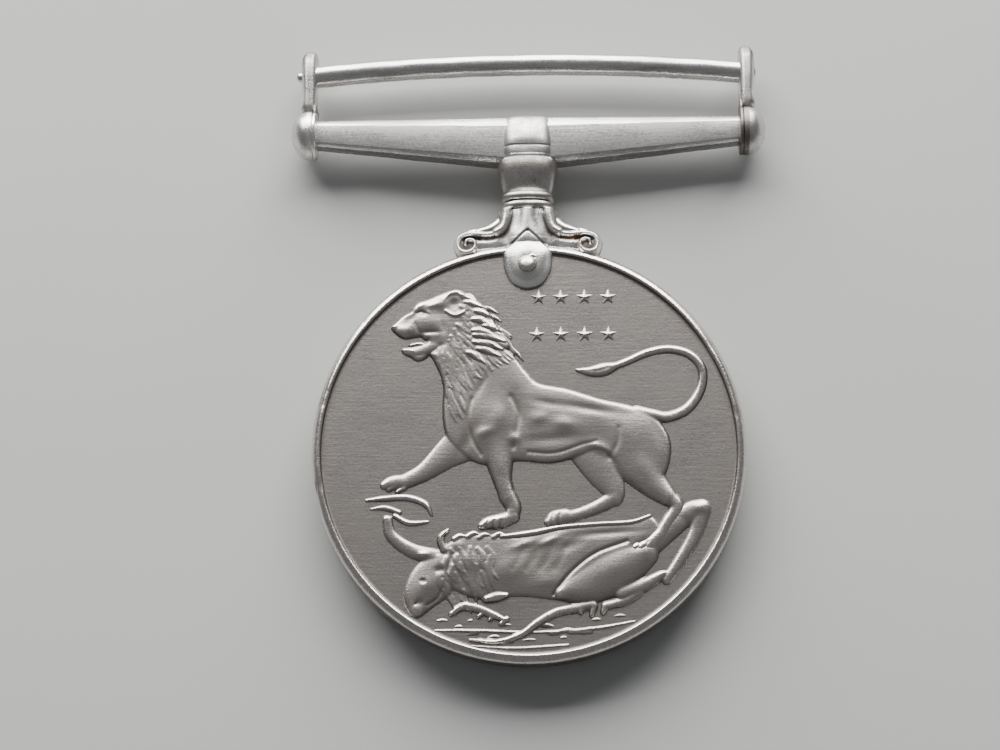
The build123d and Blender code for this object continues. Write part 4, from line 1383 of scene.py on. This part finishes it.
def add_lug(bm, side, flange_thickness):
    """A waisted upright with a rounded top, and the round flange at its foot."""
    inner = LUG[0].x
    foot = DOME[1].y + 0.06
    top = LUG[1].y
    widest = 1.47
    profile = ((-0.3, 1.2, 0.8), (0.0, 1.3, 0.95), (0.25, 1.39, 1.05), (0.6, 1.38, 1.08),
               (1.1, 1.34, 1.1), (1.9, 1.38, 1.15), (2.8, 1.44, 1.18), (3.6, widest, 1.2),
               (4.3, widest, 1.2), (4.8, 1.43, 1.16), (5.15, 1.3, 1.06), (5.38, 1.1, 0.92),
               (5.53, 0.84, 0.72), (top - foot, 0.4, 0.4))
    rings = []
    for rise, thickness, half_depth in profile:
        shift = 0.3 * (widest - thickness) if rise > 4 else 0
        rings.append((side * (inner + shift + thickness / 2), foot + rise, thickness / 2,
                      half_depth, 2.6))
    stack_rings(bm, rings, 72)
    axis_y = (DOME[0].y + DOME[1].y) / 2
    radius = (DOME[1].y - DOME[0].y) / 2 - 0.03
    edge = 0.1
    face = inner + flange_thickness
    cap = [(inner, 0.0), (inner, radius - edge), (inner + edge * 0.3, radius - edge * 0.3),
           (inner + edge, radius), (face - edge, radius), (face - edge * 0.3, radius - edge * 0.3),
           (face, radius - edge), (face, 0.0)]
    turn_profile(bm, [(side * x, axis_y + r, 0) for x, r in cap], (1, 0, 0), (0, axis_y, 0), 96)
    bridge = [(side * (inner + flange_thickness / 2), axis_y + 1.2, flange_thickness / 2, 1.15, 5),
              (side * (inner + flange_thickness / 2), foot + 0.3, flange_thickness / 2, 1.15, 5)]
    stack_rings(bm, bridge, 48)


class MEDAL_OT_lugs(bpy.types.Operator):
    """Model the two uprights with their round flanges"""

    bl_idname = "medal.lugs"
    bl_label = "End lugs"

    def execute(self, context):
        sizes = context.scene.medal_suspender
        metal = material("worn_cast_metal", cast_metal, context.scene.medal_finish)
        for side, node in ((1, "right_end_lug"), (-1, "left_end_lug")):
            bm = bmesh.new()
            add_lug(bm, side, sizes.flange_thickness / MM)
            roughen(bm, 0.9, 0.035, 20 + side)
            mark_wear(bm, 4, 6, 0.68)
            finish_piece(bm, node.replace("_end", "_upright"), metal, node)
        return {"FINISHED"}


class MEDAL_OT_domes(bpy.types.Operator):
    """Model the two half-round ends"""

    bl_idname = "medal.domes"
    bl_label = "End domes"

    def execute(self, context):
        metal = material("worn_cast_metal", cast_metal, context.scene.medal_finish)
        axis_y = (DOME[0].y + DOME[1].y) / 2
        radius = (DOME[1].y - DOME[0].y) / 2
        start = LUG[0].x + context.scene.medal_suspender.flange_thickness / MM + 0.02
        end = DOME[1].x - 0.02
        rim = 0.35
        for side, node in ((1, "right_end_dome"), (-1, "left_end_dome")):
            rows = [(start, 0.0), (start, radius - 0.04), (start + 0.03, radius - 0.01),
                    (start + rim, radius)]
            for index in range(1, 19):
                angle = math.radians(90 * index / 18)
                rows.append((start + rim + (end - start - rim) * math.sin(angle),
                             radius * math.cos(angle)))
            bm = bmesh.new()
            turn_profile(bm, [(side * x, axis_y + r, 0) for x, r in rows], (1, 0, 0),
                         (0, axis_y, 0), 96)
            roughen(bm, 1.3, 0.04, 30 + side)
            mark_wear(bm, 4, 5, 0.5)
            finish_piece(bm, node.replace("_end_dome", "_half_round_end"), metal,
                         node)
        return {"FINISHED"}


# ----------------------------------------------------------------------------- the stage


def soft_light(name, power, size, place, aim):
    """A large soft light that looks at a point."""
    light = bpy.data.lights.new(name, "AREA")
    light.shape = "RECTANGLE"
    light.energy = power
    light.size, light.size_y = size
    lamp = bpy.data.objects.new(name, light)
    lamp.location = place
    lamp.rotation_euler = (aim - place).to_track_quat("-Z", "Y").to_euler()
    bpy.context.scene.collection.objects.link(lamp)


def pale_floor(tone):
    """Even, slightly mottled pale floor."""
    make = Finish("pale_floor")
    mottle = make.grain(30, 3)
    lighter = [value * 1.05 for value in tone]
    make.feed(make.shader.inputs["Base Color"], make.blend(mottle, tone, lighter))
    make.shader.inputs["Roughness"].default_value = 0.85
    return make.material


class MEDAL_OT_stage(bpy.types.Operator):
    """Set up the floor, the light and the camera"""

    bl_idname = "medal.stage"
    bl_label = "Stage"

    def execute(self, context):
        stage = context.scene.medal_stage
        lowest = CAD_BOX[0][2]
        bm = bmesh.new()
        bmesh.ops.create_grid(bm, x_segments=1, y_segments=1, size=1.5)
        bmesh.ops.translate(bm, verts=bm.verts, vec=(0, 0, lowest - 0.02 * MM))
        mesh = bpy.data.meshes.new("floor")
        bm.to_mesh(mesh)
        bm.free()
        mesh.materials.append(pale_floor(stage.floor))
        floor = bpy.data.objects.new("floor", mesh)
        context.scene.collection.objects.link(floor)

        aim = CENTRE + Vector(stage.camera_aim)
        soft_light("window", stage.window_power, (0.6, 0.36),
                   CENTRE + Vector((-0.03, 0.36, 0.175)), CENTRE)
        world = bpy.data.worlds.new("room")
        world.use_nodes = True
        background = world.node_tree.nodes["Background"]
        background.inputs["Color"].default_value = (0.93, 0.96, 1.0, 1)
        background.inputs["Strength"].default_value = stage.sky
        context.scene.world = world

        data = bpy.data.cameras.new("camera")
        data.sensor_width = 36
        data.lens = stage.lens
        data.clip_start = 0.01
        camera = bpy.data.objects.new("camera", data)
        camera.location = CENTRE + Vector(stage.camera_place)
        forward = (aim - camera.location).normalized()
        up_hint = Vector((math.sin(stage.camera_roll), math.cos(stage.camera_roll), 0))
        right = forward.cross(up_hint).normalized()
        turn = Matrix((right, right.cross(forward), -forward)).transposed()
        camera.rotation_euler = turn.to_euler()
        context.scene.collection.objects.link(camera)
        context.scene.camera = camera
        return {"FINISHED"}


# ------------------------------------------------------------------------------ add-on


PARTS = (
    MEDAL_OT_disc, MEDAL_OT_lion, MEDAL_OT_beast, MEDAL_OT_stars, MEDAL_OT_wreath,
    MEDAL_OT_claw, MEDAL_OT_pin, MEDAL_OT_collars, MEDAL_OT_boss, MEDAL_OT_bar,
    MEDAL_OT_rod, MEDAL_OT_lugs, MEDAL_OT_domes, MEDAL_OT_stage,
)


class MEDAL_PT_sidebar(bpy.types.Panel):
    """Lists the medal's sizes and the steps that model it"""

    bl_label = "Service medal"
    bl_idname = "MEDAL_PT_sidebar"
    bl_space_type = "VIEW_3D"
    bl_region_type = "UI"
    bl_category = "Medal"

    def draw(self, context):
        for group in SETTINGS:
            column = self.layout.column(align=True)
            settings = getattr(context.scene, group)
            for name in settings.bl_rna.properties.keys():
                if name not in ("rna_type", "name"):
                    column.prop(settings, name)
        for part in PARTS:
            self.layout.operator(part.bl_idname)


SETTINGS = {
    "medal_disc": MedalDiscSettings,
    "medal_claw": MedalClawSettings,
    "medal_suspender": MedalSuspenderSettings,
    "medal_finish": MedalFinishSettings,
    "medal_stage": MedalStageSettings,
}


def register():
    for group, settings in SETTINGS.items():
        bpy.utils.register_class(settings)
        setattr(bpy.types.Scene, group, PointerProperty(type=settings))
    for part in (*PARTS, MEDAL_PT_sidebar):
        bpy.utils.register_class(part)


def unregister():
    for part in reversed((*PARTS, MEDAL_PT_sidebar)):
        bpy.utils.unregister_class(part)
    for group, settings in SETTINGS.items():
        delattr(bpy.types.Scene, group)
        bpy.utils.unregister_class(settings)


def main():
    register()
    bpy.ops.medal.disc()
    bpy.ops.medal.lion()
    bpy.ops.medal.beast()
    bpy.ops.medal.stars()
    bpy.ops.medal.wreath()
    bpy.ops.medal.claw()
    bpy.ops.medal.pin()
    bpy.ops.medal.collars()
    bpy.ops.medal.boss()
    bpy.ops.medal.bar()
    bpy.ops.medal.rod()
    bpy.ops.medal.lugs()
    bpy.ops.medal.domes()
    bpy.ops.medal.stage()


if __name__ == "__main__":
    main()
